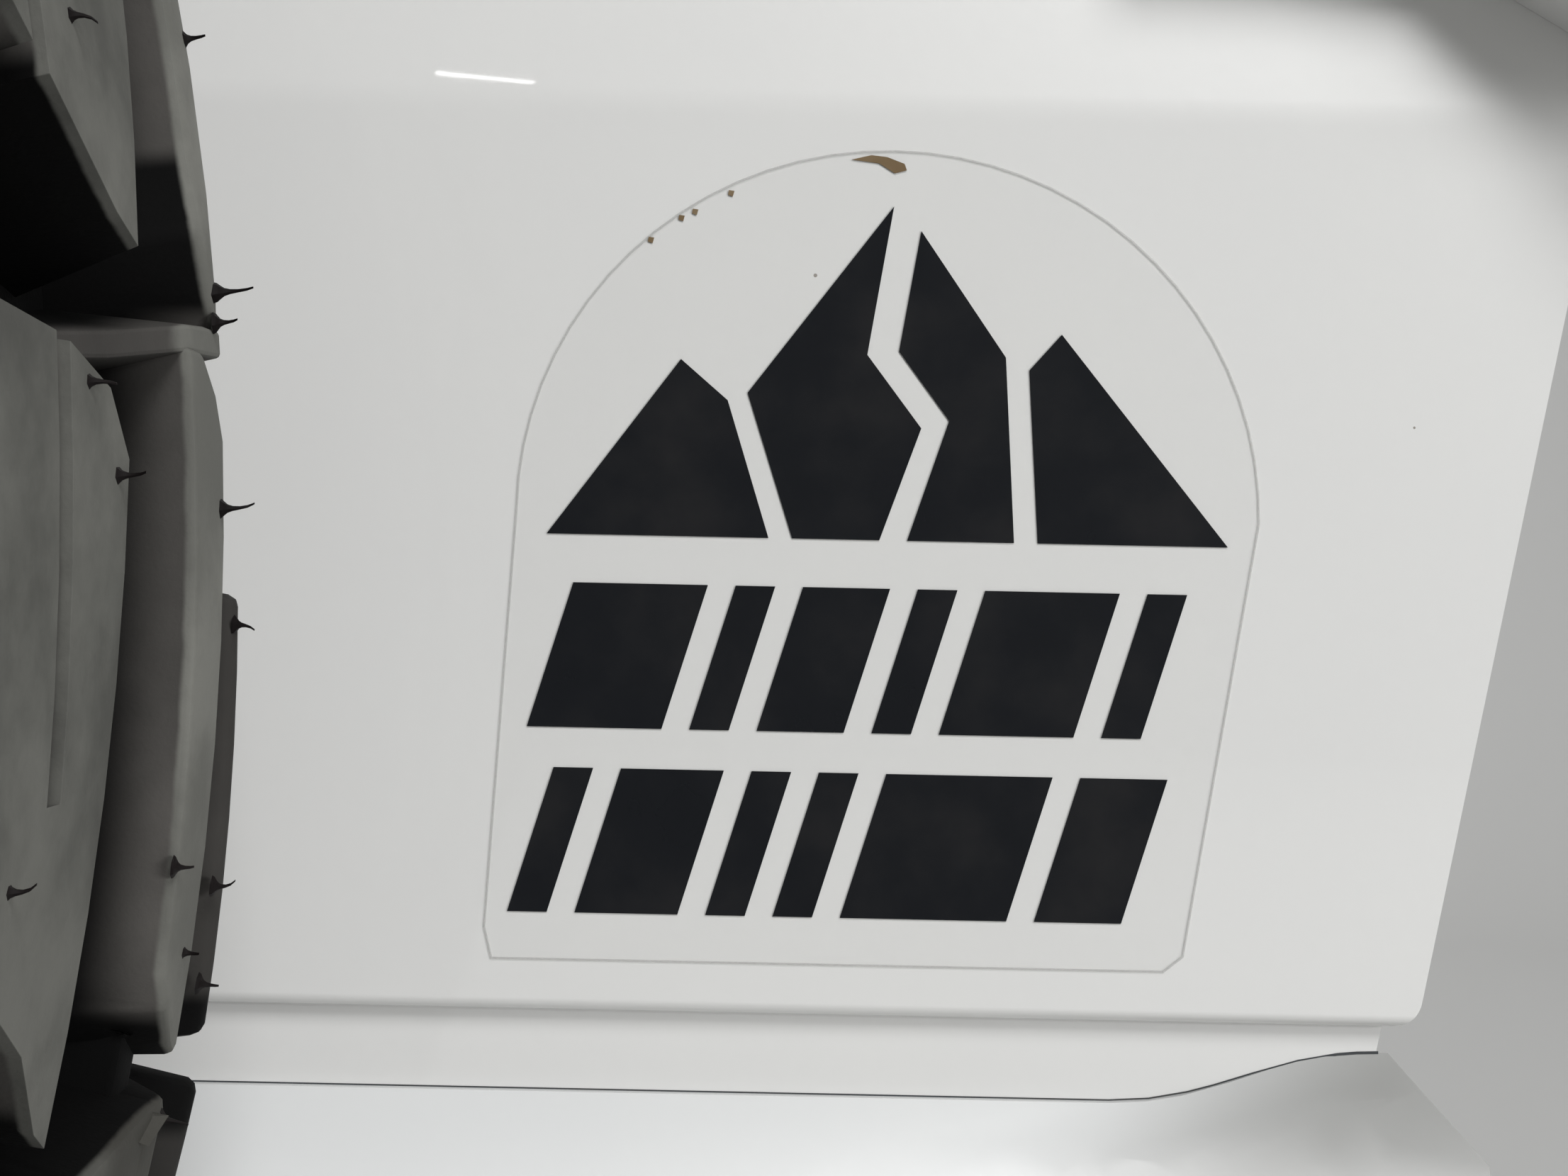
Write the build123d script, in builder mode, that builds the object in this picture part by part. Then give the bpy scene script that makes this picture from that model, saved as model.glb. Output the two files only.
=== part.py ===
"""Side-hinged rear door of an off-road vehicle, with its spare wheel.

Sizes are in millimetres. Door coordinates: X to the right seen from behind the vehicle, Y forward
into it, Z up. X and Z start at the spare wheel's axis, Y starts at the door's flat outer face. When a
piece is saved it is moved so that the origin is the centre of the four hinge bolts.
"""

import math
import os
from typing import NamedTuple

from build123d import *

# Door outline, right half, seen from behind.
DOOR_LOW_Z = -150.0
DOOR_TOP_Z = 790.0
SWAGE_Z = -67.0
SWAGE_X = 537.5
EDGE_LEAN = math.radians(10.6)
DOOR_MAX_X = 578.0
BELT_Z = 340.0
DOOR_TOP_X = 500.0
EDGE_BLEND = 500.0
TOP_CORNER = 70.0
FACE_CORNER = 5.0
BAND_INSET = 4.5

# Door section, seen from the side.
CREASE_Z = 76.0
FACET_LEAN = math.radians(8.0)
CREASE_ROUND = 30.0
BAND_RECESS = 3.5
SWAGE_ROUND_SHARE = 0.6
SWAGE_ROOT_SHARE = 0.2
SKIN_DEEP = 16.0
INNER_DEEP = 30.0
INNER_INSET = 24.0
TRIM_DEEP = 6.0
TRIM_INSET = 58.0
TRIM_TOP_Z = 335.0
SEAL_OUT_INSET = 6.0
SEAL_IN_INSET = 20.0
SEAL_DEEP = 15.0

# Window.
WINDOW_LOW_Z = 380.0
WINDOW_TOP_Z = 742.0
WINDOW_LOW_X = 478.0
WINDOW_TOP_X = 424.0
WINDOW_CORNER = 48.0
GLASS_INSET = 8.0
GLASS_DEEP = 5.0
GLASS_SET_BACK = 4.0
SEAL_LIP_OUT = 10.0
SEAL_LIP_IN = 17.0
SEAL_LIP_THICK = 4.0
INNER_WINDOW_OUT = 14.0
INNER_LIP_OUT = 12.0

# Lower bumper section on the door's foot.
BUMPER_TOP_Z = -80.0
BUMPER_END_Z = -71.5
BUMPER_LOW_Z = -260.0
BUMPER_OUT = 30.0
BUMPER_CROWN = 80.0
BUMPER_LEAN = 0.12
BUMPER_UNDER = 26.0
BUMPER_TURN_X = 430.0
BUMPER_END_OUT = 5.0
BUMPER_TURN = 0.9
BUMPER_LIFT_X = 490.0
BUMPER_PEAK_X = 532.5
BUMPER_CORNER_X = 534.0
BUMPER_SIDE_X = 549.0
BUMPER_CUT_Z = -88.0
BUMPER_ROUND = 24.0

# Hinges. The axis stands clear of the door's outer face.
HINGE_X = 588.0
HINGE_Y = -22.0
HINGE_ZS = {"lower": 121.0, "upper": 289.0}
KNUCKLE_R = 12.0
KNUCKLE_HALF = 38.0
KNUCKLE_MID_HALF = 13.0
KNUCKLE_GAP = 1.0
PIN_R = 5.0
PIN_FIT = 0.05
PIN_CAP = 3.0
LEAF_THICK = 9.0
LEAF_HALF = 30.0
LEAF_END = 14.0
BOLT_PITCH_X = 28.0
BOLT_HOLE_R = 4.5
BOLT_OUT = 40.0
BOLT_MID_X = HINGE_X + BOLT_OUT
BOLT_MID_Z = sum(HINGE_ZS.values()) / len(HINGE_ZS)
STRAP_LONG = 96.0
STRAP_TIP_HALF = 15.0
STRAP_FLARE = 50.0
STRAP_FLARE_HALF = 18.5
STRAP_SHOULDER = 18.0
STRAP_THICK = 11.0
STRAP_BOLT_SHARES = (0.56, 0.83)
STRAP_TIP_X = HINGE_X - STRAP_LONG
STRAP_FLARE_X = HINGE_X - STRAP_FLARE
STRAP_WIDE_X = HINGE_X - STRAP_SHOULDER
STRAP_BOLT_XS = [HINGE_X - share * STRAP_LONG for share in STRAP_BOLT_SHARES]
STRAP_BOLT_R = 7.0
STRAP_BOLT_HIGH = 5.0

# Spare wheel. It stands this far behind the door's face, measured to its middle.
WHEEL_OUT = 163.0
TYRE_R = 367.5
LUG_DEEP = 17.5
TREAD_HALF = 100.0
TYRE_HALF = 115.0
BULGE_SHARE = 0.511
BEAD_R = 190.5
BEAD_OUT = 82.5
RUBBER_THICK = 12.0
LUG_ROOT = 6.0
LUG_COUNT = 24
LONG_LUG_ARC = 13.8
SHORT_LUG_ARC = 11.5
LONG_LUG_MID = -2.5
SHORT_LUG_MID = -15.9
BUTTRESS_MID = 6.4
BUTTRESS_ARC = 5.0
BUTTRESS_DROP = 6.0
ROW_ARC = 12.4
ROW_IN = 14.0
ROW_OUT = 52.0
LUG_DRAFT = 3.0
LUG_WIDE = 29.0
LUG_EDGE = 7.0
BEAD_RISE = 18.0
BEAD_STEP = 10.0
RIM_WALL = 4.0
RIM_FLANGE = 17.0
RIM_FLANGE_OUT = 11.0
RIM_LIP = 4.0
RIM_BEAD_GAP = 1.0
RIM_SKIM = 0.3
RIM_STEP = 2.0
RIM_WELL_SHIFT = 8.0
RIM_BEND = 3.0
RIM_WELL_R = 165.0
RIM_WELL_HALF = 24.0
RIM_SEAT = 28.0
DISC_THICK = 7.0
DISC_BACK = 12.0
DISC_DISH = 24.0
DISC_PAD_R = 92.0
DISC_RISE = 14.0
DISC_ROUND = 4.0
DISC_SHOULDER = 12.0
DISC_FOOT = 8.0
HUB_R = 54.0
VENT_COUNT = 8
VENT_R = 15.0
VENT_PITCH_R = 130.0
STUD_COUNT = 6
STUD_PITCH_R = 69.85
STUD_HOLE_R = 7.5
STUD_R = 6.0
NUT_ACROSS = 21.0
NUT_HIGH = 20.0
NUT_COUNT = 3
STUD_PAST_NUT = 6.0

# Carrier that holds the spare wheel on the door.
CARRIER_MID_Z = 4.0
CARRIER_BASE = 8.0
CARRIER_BASE_WIDE = 300.0
CARRIER_BASE_HIGH = 124.0
CARRIER_BASE_ROUND = 14.0
CARRIER_FOOT_WIDE = 200.0
CARRIER_FOOT_HIGH = 112.0
CARRIER_TOP_R = 90.0
CARRIER_BOLT_PITCH_X = 256.0
CARRIER_BOLT_PITCH_Z = 80.0
CARRIER_BOLT_R = 9.0
CARRIER_BOLT_HIGH = 8.0

# Handle, lock and latch at the left edge.
HANDLE_X = -486.0
HANDLE_Z = 190.0
HANDLE_WIDE = 130.0
HANDLE_HIGH = 84.0
HANDLE_ROUND = 20.0
HANDLE_PROUD = 7.0
HANDLE_RIM = 12.0
CUP_FLOOR = 2.0
PULL_GAP = 3.0
PULL_WIDE = 96.0
PULL_HIGH = 34.0
PULL_THICK = 8.0
PULL_ROUND = 9.0
PULL_FOOT = 14.0
LOCK_DROP = 74.0
LOCK_R = 13.0
LOCK_PROUD = 5.0
LATCH_X = -538.0
LATCH_Z = 150.0
LATCH_WIDE = 28.0
LATCH_HIGH = 96.0
LATCH_DEEP = 26.0
LATCH_SLOT_HIGH = 22.0
LATCH_SLOT_WIDE = 24.0

# Inside fittings.
GRAB_X = -360.0
GRAB_Z = -20.0
GRAB_SPAN = 170.0
GRAB_OUT = 42.0
GRAB_R = 11.0
GRAB_FOOT_R = 17.0
GRAB_FOOT = 6.0
BUFFER_X = 538.0
BUFFER_Z = 250.0
BUFFER_R = 12.0
BUFFER_HIGH = 18.0

# Stop lamp over the window.
LAMP_Z = 766.0
LAMP_WIDE = 210.0
LAMP_HIGH = 24.0
LAMP_OUT = 16.0
LAMP_LENS_WIDE = 190.0
LAMP_LENS_HIGH = 14.0
LAMP_LENS_DEEP = 6.0
LAMP_ROUND = 8.0

# Wiper, parked level along the window's foot.
WIPER_X = 250.0
WIPER_Z = 352.0
SPINDLE_R = 17.0
SPINDLE_HIGH = 14.0
SPINDLE_CORE_R = 6.0
ARM_GAP = 3.0
ARM_HUB_R = 14.0
ARM_HUB_HIGH = 14.0
ARM_LONG = 230.0
ARM_HUB_WIDE = 20.0
ARM_TIP_WIDE = 10.0
ARM_THICK = 7.0
BLADE_LONG = 300.0
BLADE_WIDE = 12.0
BLADE_HIGH = 9.0
BLADE_LIP = 3.0
BLADE_LIP_HIGH = 14.0

ORIGIN_SHIFT = Pos(-BOLT_MID_X, 0, -BOLT_MID_Z)
FACET_SLOPE = math.tan(FACET_LEAN)
HALF_SPAN = DOOR_MAX_X + BOLT_OUT
DEPTH_SPAN = 400.0
NEAR = 0.5

# Plane of the leaning upper face: local X is the door's X, local Y runs up the face.
FACET = Plane(
    origin=(0, 0, CREASE_Z),
    x_dir=(1, 0, 0),
    z_dir=(0, -math.cos(FACET_LEAN), math.sin(FACET_LEAN)),
)

os.makedirs("parts", exist_ok=True)


def save(piece: Part, name: str) -> None:
    """Write one piece to its own file, moved to the finished frame."""
    moved = ORIGIN_SHIFT * piece
    moved.label = name
    export_step(moved, f"parts/{name}.step")


def face_y(z: float) -> float:
    """Give the depth of the door's outer face at a height."""
    return max(0.0, (z - CREASE_Z) * FACET_SLOPE)


def up_facet(z: float) -> float:
    """Give how far up the leaning face a height lies."""
    return (z - CREASE_Z) / math.cos(FACET_LEAN)


def corners(sketch: BuildSketch, x: float, y: float) -> list[Vertex]:
    """Give the sketch's corners at x and y, on both sides of the middle."""
    return [v for v in sketch.vertices() if abs(abs(v.X) - x) < NEAR and abs(v.Y - y) < NEAR]


def mirrored_loop(right_side: list[tuple[float, float]]) -> list[tuple[float, float]]:
    """Give a closed outline from the points of its right side, lowest first."""
    return right_side + [(-x, y) for x, y in reversed(right_side)]


EDGE_FOOT_X = SWAGE_X - (SWAGE_Z - DOOR_LOW_Z) * math.tan(EDGE_LEAN)
EDGE_BEND_Z = SWAGE_Z + (DOOR_MAX_X - SWAGE_X) / math.tan(EDGE_LEAN)


def outline(inset: float) -> Sketch:
    """Draw the door's plain outline in X and Z, drawn in by inset."""
    right = [
        (EDGE_FOOT_X, DOOR_LOW_Z),
        (DOOR_MAX_X, EDGE_BEND_Z),
        (DOOR_MAX_X, BELT_Z),
        (DOOR_TOP_X, DOOR_TOP_Z),
    ]
    with BuildSketch() as drawing:
        with BuildLine():
            Polyline(*mirrored_loop(right), close=True)
        make_face()
        fillet(corners(drawing, DOOR_MAX_X, EDGE_BEND_Z), EDGE_BLEND)
        fillet(corners(drawing, DOOR_MAX_X, BELT_Z), EDGE_BLEND)
        fillet(corners(drawing, DOOR_TOP_X, DOOR_TOP_Z), TOP_CORNER)
        if inset:
            offset(amount=-inset, kind=Kind.INTERSECTION)
    return drawing.sketch


def window(grow: float) -> Sketch:
    """Draw the window opening on the leaning face, grown outward by grow."""
    right = [
        (WINDOW_LOW_X, up_facet(WINDOW_LOW_Z)),
        (WINDOW_TOP_X, up_facet(WINDOW_TOP_Z)),
    ]
    with BuildSketch() as drawing:
        with BuildLine():
            Polyline(*mirrored_loop(right), close=True)
        make_face()
        fillet(drawing.vertices(), WINDOW_CORNER)
        if grow:
            offset(amount=grow)
    return drawing.sketch


def slab_loop(front: float, back: float, low_z: float, top_z: float) -> list[tuple[float, float]]:
    """Give the side section of a slab that follows the door's face between two depths."""
    return [
        (front, low_z),
        (front, CREASE_Z),
        (face_y(top_z) + front, top_z),
        (face_y(top_z) + back, top_z),
        (back, CREASE_Z),
        (back, low_z),
    ]


# Tangent length of the round at the main face's lower corners.
CORNER_RUN = FACE_CORNER / math.tan(math.pi / 4 + EDGE_LEAN / 2)
INNER_BACK = SKIN_DEEP + INNER_DEEP
TRIM_BACK = INNER_BACK + TRIM_DEEP

# Outer panel: the side section runs across the door and the outline trims it.
with BuildPart() as outer_panel:
    with BuildSketch(Plane.YZ) as section:
        with BuildLine():
            Polyline(
                (BAND_RECESS, DOOR_LOW_Z),
                (BAND_RECESS, SWAGE_Z),
                (0, SWAGE_Z),
                (0, CREASE_Z),
                (face_y(DOOR_TOP_Z), DOOR_TOP_Z),
                (face_y(DOOR_TOP_Z) + SKIN_DEEP, DOOR_TOP_Z),
                (SKIN_DEEP, CREASE_Z),
                (SKIN_DEEP, DOOR_LOW_Z),
                close=True,
            )
        make_face()
        fillet(corners(section, 0, SWAGE_Z), SWAGE_ROUND_SHARE * BAND_RECESS)
        fillet(corners(section, BAND_RECESS, SWAGE_Z), SWAGE_ROOT_SHARE * BAND_RECESS)
        fillet(corners(section, 0, CREASE_Z), CREASE_ROUND)
    extrude(amount=HALF_SPAN, both=True)
    with BuildSketch(Plane.XZ):
        add(outline(0))
    extrude(amount=DEPTH_SPAN, both=True, mode=Mode.INTERSECT)
    with BuildSketch(Plane.XZ) as band_trim:
        with BuildLine():
            corner_low = (SWAGE_X - CORNER_RUN, SWAGE_Z)
            corner_high = (
                SWAGE_X + CORNER_RUN * math.sin(EDGE_LEAN),
                SWAGE_Z + CORNER_RUN * math.cos(EDGE_LEAN),
            )
            TangentArc(corner_low, corner_high, tangent=(1, 0))
            Polyline(
                corner_high,
                (HALF_SPAN, corner_high[1]),
                (HALF_SPAN, DOOR_LOW_Z),
                (EDGE_FOOT_X - BAND_INSET, DOOR_LOW_Z),
                (SWAGE_X - BAND_INSET, SWAGE_Z),
                corner_low,
            )
        make_face()
        mirror(about=Plane.YZ)
    extrude(amount=DEPTH_SPAN, both=True, mode=Mode.SUBTRACT)
    with BuildSketch(FACET):
        add(window(0))
    extrude(amount=DEPTH_SPAN, both=True, mode=Mode.SUBTRACT)
save(outer_panel.part, "outer_panel")

with BuildPart() as inner_panel:
    with BuildSketch(Plane.YZ):
        with BuildLine():
            Polyline(*slab_loop(SKIN_DEEP, INNER_BACK, DOOR_LOW_Z, DOOR_TOP_Z), close=True)
        make_face()
    extrude(amount=HALF_SPAN, both=True)
    with BuildSketch(Plane.XZ):
        add(outline(INNER_INSET))
    extrude(amount=DEPTH_SPAN, both=True, mode=Mode.INTERSECT)
    with BuildSketch(FACET):
        add(window(INNER_WINDOW_OUT))
    extrude(amount=DEPTH_SPAN, both=True, mode=Mode.SUBTRACT)
save(inner_panel.part, "inner_panel")

with BuildPart() as trim_panel:
    with BuildSketch(Plane.YZ):
        with BuildLine():
            Polyline(*slab_loop(INNER_BACK, TRIM_BACK, DOOR_LOW_Z, TRIM_TOP_Z), close=True)
        make_face()
    extrude(amount=HALF_SPAN, both=True)
    with BuildSketch(Plane.XZ):
        add(outline(TRIM_INSET))
    extrude(amount=DEPTH_SPAN, both=True, mode=Mode.INTERSECT)
save(trim_panel.part, "trim_panel")

with BuildPart() as weather_seal:
    with BuildSketch(Plane.YZ):
        with BuildLine():
            Polyline(
                *slab_loop(SKIN_DEEP, SKIN_DEEP + SEAL_DEEP, DOOR_LOW_Z, DOOR_TOP_Z), close=True
            )
        make_face()
    extrude(amount=HALF_SPAN, both=True)
    with BuildSketch(Plane.XZ):
        add(outline(SEAL_OUT_INSET))
        add(outline(SEAL_IN_INSET), mode=Mode.SUBTRACT)
    extrude(amount=DEPTH_SPAN, both=True, mode=Mode.INTERSECT)
save(weather_seal.part, "weather_seal")

# Window: depths here run inward from the leaning face.
PANE_FRONT = GLASS_SET_BACK
PANE_BACK = GLASS_SET_BACK + GLASS_DEEP
SKIN_ALONG = SKIN_DEEP * math.cos(FACET_LEAN)

with BuildPart() as window_glass:
    with BuildSketch(FACET.offset(-PANE_FRONT)):
        add(window(-GLASS_INSET))
    extrude(amount=-GLASS_DEEP)
save(window_glass.part, "window_glass")

with BuildPart() as window_seal:
    with BuildSketch(FACET.offset(SEAL_LIP_THICK)):
        add(window(SEAL_LIP_OUT))
        add(window(-SEAL_LIP_IN), mode=Mode.SUBTRACT)
    extrude(amount=-SEAL_LIP_THICK)
    with BuildSketch(FACET):
        add(window(0))
        add(window(-SEAL_LIP_IN), mode=Mode.SUBTRACT)
    extrude(amount=-SKIN_ALONG)
    with BuildSketch(FACET.offset(-SKIN_ALONG)):
        add(window(INNER_LIP_OUT))
        add(window(-SEAL_LIP_IN), mode=Mode.SUBTRACT)
    extrude(amount=-SEAL_LIP_THICK)
    with BuildSketch(FACET.offset(-PANE_FRONT)):
        add(window(-GLASS_INSET))
    extrude(amount=-GLASS_DEEP, mode=Mode.SUBTRACT)
save(window_seal.part, "window_seal")

# Lower bumper section: a convex section, with a top edge that lifts in a wave near each end.
with BuildPart() as lower_bumper:
    with BuildSketch(Plane.YZ) as section:
        with BuildLine():
            top = (BAND_RECESS, BUMPER_END_Z)
            crown_end = (-BUMPER_OUT, BUMPER_END_Z - BUMPER_CROWN)
            under_start = (-BUMPER_OUT, BUMPER_LOW_Z + BUMPER_UNDER)
            under_end = (BUMPER_UNDER - BUMPER_OUT, BUMPER_LOW_Z)
            foot = (SKIN_DEEP, BUMPER_LOW_Z)
            ledge = (SKIN_DEEP, DOOR_LOW_Z)
            Spline(top, crown_end, tangents=[(-BUMPER_LEAN, -1), (0, -1)])
            Line(crown_end, under_start)
            TangentArc(under_start, under_end, tangent=(0, -1))
            Polyline(under_end, foot, ledge, (BAND_RECESS, DOOR_LOW_Z), top)
        make_face()
    extrude(amount=HALF_SPAN, both=True)
    with BuildSketch(Plane.XZ) as top_edge:
        with BuildLine():
            Spline(
                (BUMPER_LIFT_X, BUMPER_TOP_Z),
                (BUMPER_PEAK_X, BUMPER_END_Z),
                tangents=[(1, 0), (1, 0)],
            )
            Polyline(
                (BUMPER_PEAK_X, BUMPER_END_Z),
                (BUMPER_CORNER_X, BUMPER_END_Z),
                (BUMPER_SIDE_X, BUMPER_CUT_Z),
                (BUMPER_SIDE_X, BUMPER_LOW_Z),
                (0, BUMPER_LOW_Z),
                (0, BUMPER_TOP_Z),
                (BUMPER_LIFT_X, BUMPER_TOP_Z),
            )
        make_face()
        fillet(corners(top_edge, BUMPER_SIDE_X, BUMPER_LOW_Z), BUMPER_ROUND)
        mirror(about=Plane.YZ)
    extrude(amount=DEPTH_SPAN, both=True, mode=Mode.INTERSECT)
    with BuildSketch(Plane.XY):
        with BuildLine():
            Spline(
                (BUMPER_TURN_X, -BUMPER_OUT),
                (BUMPER_SIDE_X, -BUMPER_END_OUT),
                tangents=[(1, 0), (1, BUMPER_TURN)],
            )
            Polyline(
                (BUMPER_SIDE_X, -BUMPER_END_OUT),
                (BUMPER_SIDE_X, SKIN_DEEP),
                (0, SKIN_DEEP),
                (0, -BUMPER_OUT),
                (BUMPER_TURN_X, -BUMPER_OUT),
            )
        make_face()
        mirror(about=Plane.YZ)
    extrude(amount=DEPTH_SPAN, both=True, mode=Mode.INTERSECT)
save(lower_bumper.part, "lower_bumper")

# Space outside the door's face, used to seat what stands on it.
with BuildPart() as outside:
    with BuildSketch(Plane.YZ):
        with BuildLine():
            Polyline(*slab_loop(-DEPTH_SPAN, 0, DOOR_LOW_Z, DOOR_TOP_Z), close=True)
        make_face()
    extrude(amount=HALF_SPAN, both=True)

# Hinges: the vehicle's leaf has the middle knuckle and the pin, the door's strap the outer two.
for level, hinge_z in HINGE_ZS.items():
    axis_plane = Plane((HINGE_X, HINGE_Y, hinge_z))
    with BuildPart() as body_hinge:
        with BuildSketch(axis_plane.offset(-KNUCKLE_MID_HALF)):
            Circle(KNUCKLE_R)
        extrude(amount=2 * KNUCKLE_MID_HALF)
        with BuildSketch(axis_plane.offset(-KNUCKLE_MID_HALF)):
            with BuildLine():
                Polyline(
                    (0, KNUCKLE_R),
                    (KNUCKLE_R, -HINGE_Y),
                    (BOLT_MID_X - HINGE_X, -HINGE_Y),
                    (BOLT_MID_X - HINGE_X, -HINGE_Y - LEAF_THICK),
                    (KNUCKLE_R, -HINGE_Y - LEAF_THICK),
                    (0, -KNUCKLE_R),
                    close=True,
                )
            make_face()
        extrude(amount=2 * KNUCKLE_MID_HALF)
        with BuildSketch(Plane.XZ) as leaf:
            with Locations((BOLT_MID_X, hinge_z)):
                RectangleRounded(BOLT_PITCH_X + 2 * LEAF_END, 2 * LEAF_HALF, LEAF_END / 2)
        extrude(amount=LEAF_THICK)
        with BuildSketch(Plane.XZ):
            with Locations((BOLT_MID_X, hinge_z)):
                with GridLocations(BOLT_PITCH_X, 0, 2, 1):
                    Circle(BOLT_HOLE_R)
        extrude(amount=DEPTH_SPAN, both=True, mode=Mode.SUBTRACT)
        with BuildSketch(axis_plane.offset(-KNUCKLE_HALF - PIN_CAP)):
            Circle(PIN_R)
        extrude(amount=2 * (KNUCKLE_HALF + PIN_CAP))
    save(body_hinge.part, f"body_hinge_{level}")

    with BuildPart() as door_hinge:
        with BuildSketch(Plane.XZ):
            with BuildLine():
                Polyline(
                    (STRAP_TIP_X, hinge_z - STRAP_TIP_HALF),
                    (STRAP_FLARE_X, hinge_z - STRAP_FLARE_HALF),
                    (STRAP_WIDE_X, hinge_z - KNUCKLE_HALF),
                    (HINGE_X, hinge_z - KNUCKLE_HALF),
                    (HINGE_X, hinge_z + KNUCKLE_HALF),
                    (STRAP_WIDE_X, hinge_z + KNUCKLE_HALF),
                    (STRAP_FLARE_X, hinge_z + STRAP_FLARE_HALF),
                    (STRAP_TIP_X, hinge_z + STRAP_TIP_HALF),
                    close=True,
                )
            make_face()
        extrude(amount=DEPTH_SPAN, both=True)
        with BuildSketch(Plane.XY.offset(hinge_z - KNUCKLE_HALF)):
            with BuildLine():
                Polyline(
                    (STRAP_TIP_X, -STRAP_THICK),
                    (STRAP_FLARE_X, -STRAP_THICK),
                    (HINGE_X, HINGE_Y - KNUCKLE_R),
                    (HINGE_X, HINGE_Y + KNUCKLE_R),
                    (DOOR_MAX_X - KNUCKLE_R, face_y(hinge_z) + KNUCKLE_R),
                    (STRAP_TIP_X, face_y(hinge_z) + KNUCKLE_R),
                    close=True,
                )
            make_face()
        extrude(amount=2 * KNUCKLE_HALF, mode=Mode.INTERSECT)
        add(outside.part, mode=Mode.INTERSECT)
        with BuildSketch(axis_plane.offset(-KNUCKLE_HALF)):
            Circle(KNUCKLE_R)
        extrude(amount=2 * KNUCKLE_HALF)
        with BuildSketch(axis_plane.offset(-KNUCKLE_MID_HALF - KNUCKLE_GAP)):
            with Locations((0, 0)):
                Circle(KNUCKLE_R + KNUCKLE_GAP)
            with Locations((KNUCKLE_R, 0)):
                Rectangle(2 * KNUCKLE_R, 4 * KNUCKLE_R)
        extrude(amount=2 * (KNUCKLE_MID_HALF + KNUCKLE_GAP), mode=Mode.SUBTRACT)
        with BuildSketch(axis_plane.offset(-DEPTH_SPAN)):
            Circle(PIN_R + PIN_FIT)
        extrude(amount=2 * DEPTH_SPAN, mode=Mode.SUBTRACT)
        with BuildSketch(Plane.XZ.offset(STRAP_THICK)):
            for bolt_x in STRAP_BOLT_XS:
                with Locations((bolt_x, hinge_z)):
                    RegularPolygon(STRAP_BOLT_R, 6)
        extrude(amount=STRAP_BOLT_HIGH)
    save(door_hinge.part, f"door_hinge_{level}")

# Spare wheel: built about local Z, which points rearward once the wheel is set upright.
UPRIGHT = Pos(0, -WHEEL_OUT, 0) * Rot(90, 0, 0)
CARCASS_R = TYRE_R - LUG_DEEP
BULGE_R = BEAD_R + BULGE_SHARE * (CARCASS_R - BEAD_R)
LUG_PITCH = 360.0 / LUG_COUNT
PAIR_COUNT = LUG_COUNT // 2


class LugRow(NamedTuple):
    """One ring of lugs: section points in radius and width, arc and middle in degrees, count."""

    section: list[tuple[float, float]]
    arc: float
    middle: float
    count: int


def shoulder(top_r: float, inner: float) -> list[tuple[float, float]]:
    """Give a shoulder lug's section from its top radius and its inner edge."""
    return [
        (CARCASS_R - LUG_ROOT, inner - LUG_DRAFT),
        (top_r, inner),
        (top_r, TREAD_HALF - LUG_EDGE),
        (top_r - LUG_EDGE, TREAD_HALF),
        (CARCASS_R - LUG_DEEP, TYRE_HALF - LUG_DRAFT),
        (CARCASS_R - LUG_DEEP - LUG_ROOT, TYRE_HALF - 2 * LUG_ROOT),
        (CARCASS_R - 2 * LUG_ROOT, inner),
    ]


LUG = shoulder(TYRE_R, TREAD_HALF - LUG_WIDE)
BUTTRESS = shoulder(TYRE_R - BUTTRESS_DROP, TREAD_HALF - 2 * LUG_EDGE)
ROW = [
    (CARCASS_R - LUG_ROOT, ROW_IN - LUG_DRAFT),
    (TYRE_R, ROW_IN),
    (TYRE_R, ROW_OUT),
    (CARCASS_R - LUG_ROOT, ROW_OUT + LUG_DRAFT),
]
RINGS = [
    (LUG, LONG_LUG_ARC, LONG_LUG_MID, PAIR_COUNT),
    (LUG, SHORT_LUG_ARC, SHORT_LUG_MID, PAIR_COUNT),
    (BUTTRESS, BUTTRESS_ARC, BUTTRESS_MID, PAIR_COUNT),
    (ROW, ROW_ARC, LONG_LUG_MID, LUG_COUNT),
]

# The door's side of the tread has negative widths; the far side is turned by half a pitch.
LUG_ROWS = []
for section_points, arc, middle, count in RINGS:
    LUG_ROWS.append(LugRow([(r, -w) for r, w in section_points], arc, middle, count))
    LUG_ROWS.append(LugRow(section_points, arc, middle + LUG_PITCH / 2, count))

lugs = []
for row in LUG_ROWS:
    with BuildPart() as lug:
        with BuildSketch(Plane.XZ.rotated((0, 0, row.middle - row.arc / 2))):
            Polygon(*row.section, align=None)
        revolve(axis=Axis.Z, revolution_arc=row.arc)
    lugs.append(lug.part)

with BuildPart() as spare_tyre:
    with BuildSketch(Plane.XZ):
        with BuildLine():
            outer_side = [
                (BEAD_R, BEAD_OUT),
                (BEAD_R + BEAD_RISE, BEAD_OUT + BEAD_STEP),
                (BULGE_R, TYRE_HALF),
                (CARCASS_R - LUG_DEEP, TREAD_HALF),
                (CARCASS_R, TREAD_HALF - LUG_DEEP),
            ]
            inner_side = [
                (CARCASS_R - RUBBER_THICK, TREAD_HALF - 2 * RUBBER_THICK),
                (BULGE_R, TYRE_HALF - RUBBER_THICK),
                (BEAD_R + BEAD_RISE, BEAD_OUT - RUBBER_THICK / 2),
                (BEAD_R, BEAD_OUT - RIM_SEAT + BEAD_STEP),
            ]
            half = outer_side + [(CARCASS_R, 0), (CARCASS_R - RUBBER_THICK, 0)] + inner_side
            Polyline(*half, close=True)
        make_face()
    revolve(axis=Axis.Z)
    mirror(about=Plane.XY)
    for row, piece in zip(LUG_ROWS, lugs):
        with PolarLocations(0, row.count):
            add(piece)
save(UPRIGHT * spare_tyre.part, "spare_tyre")

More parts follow.
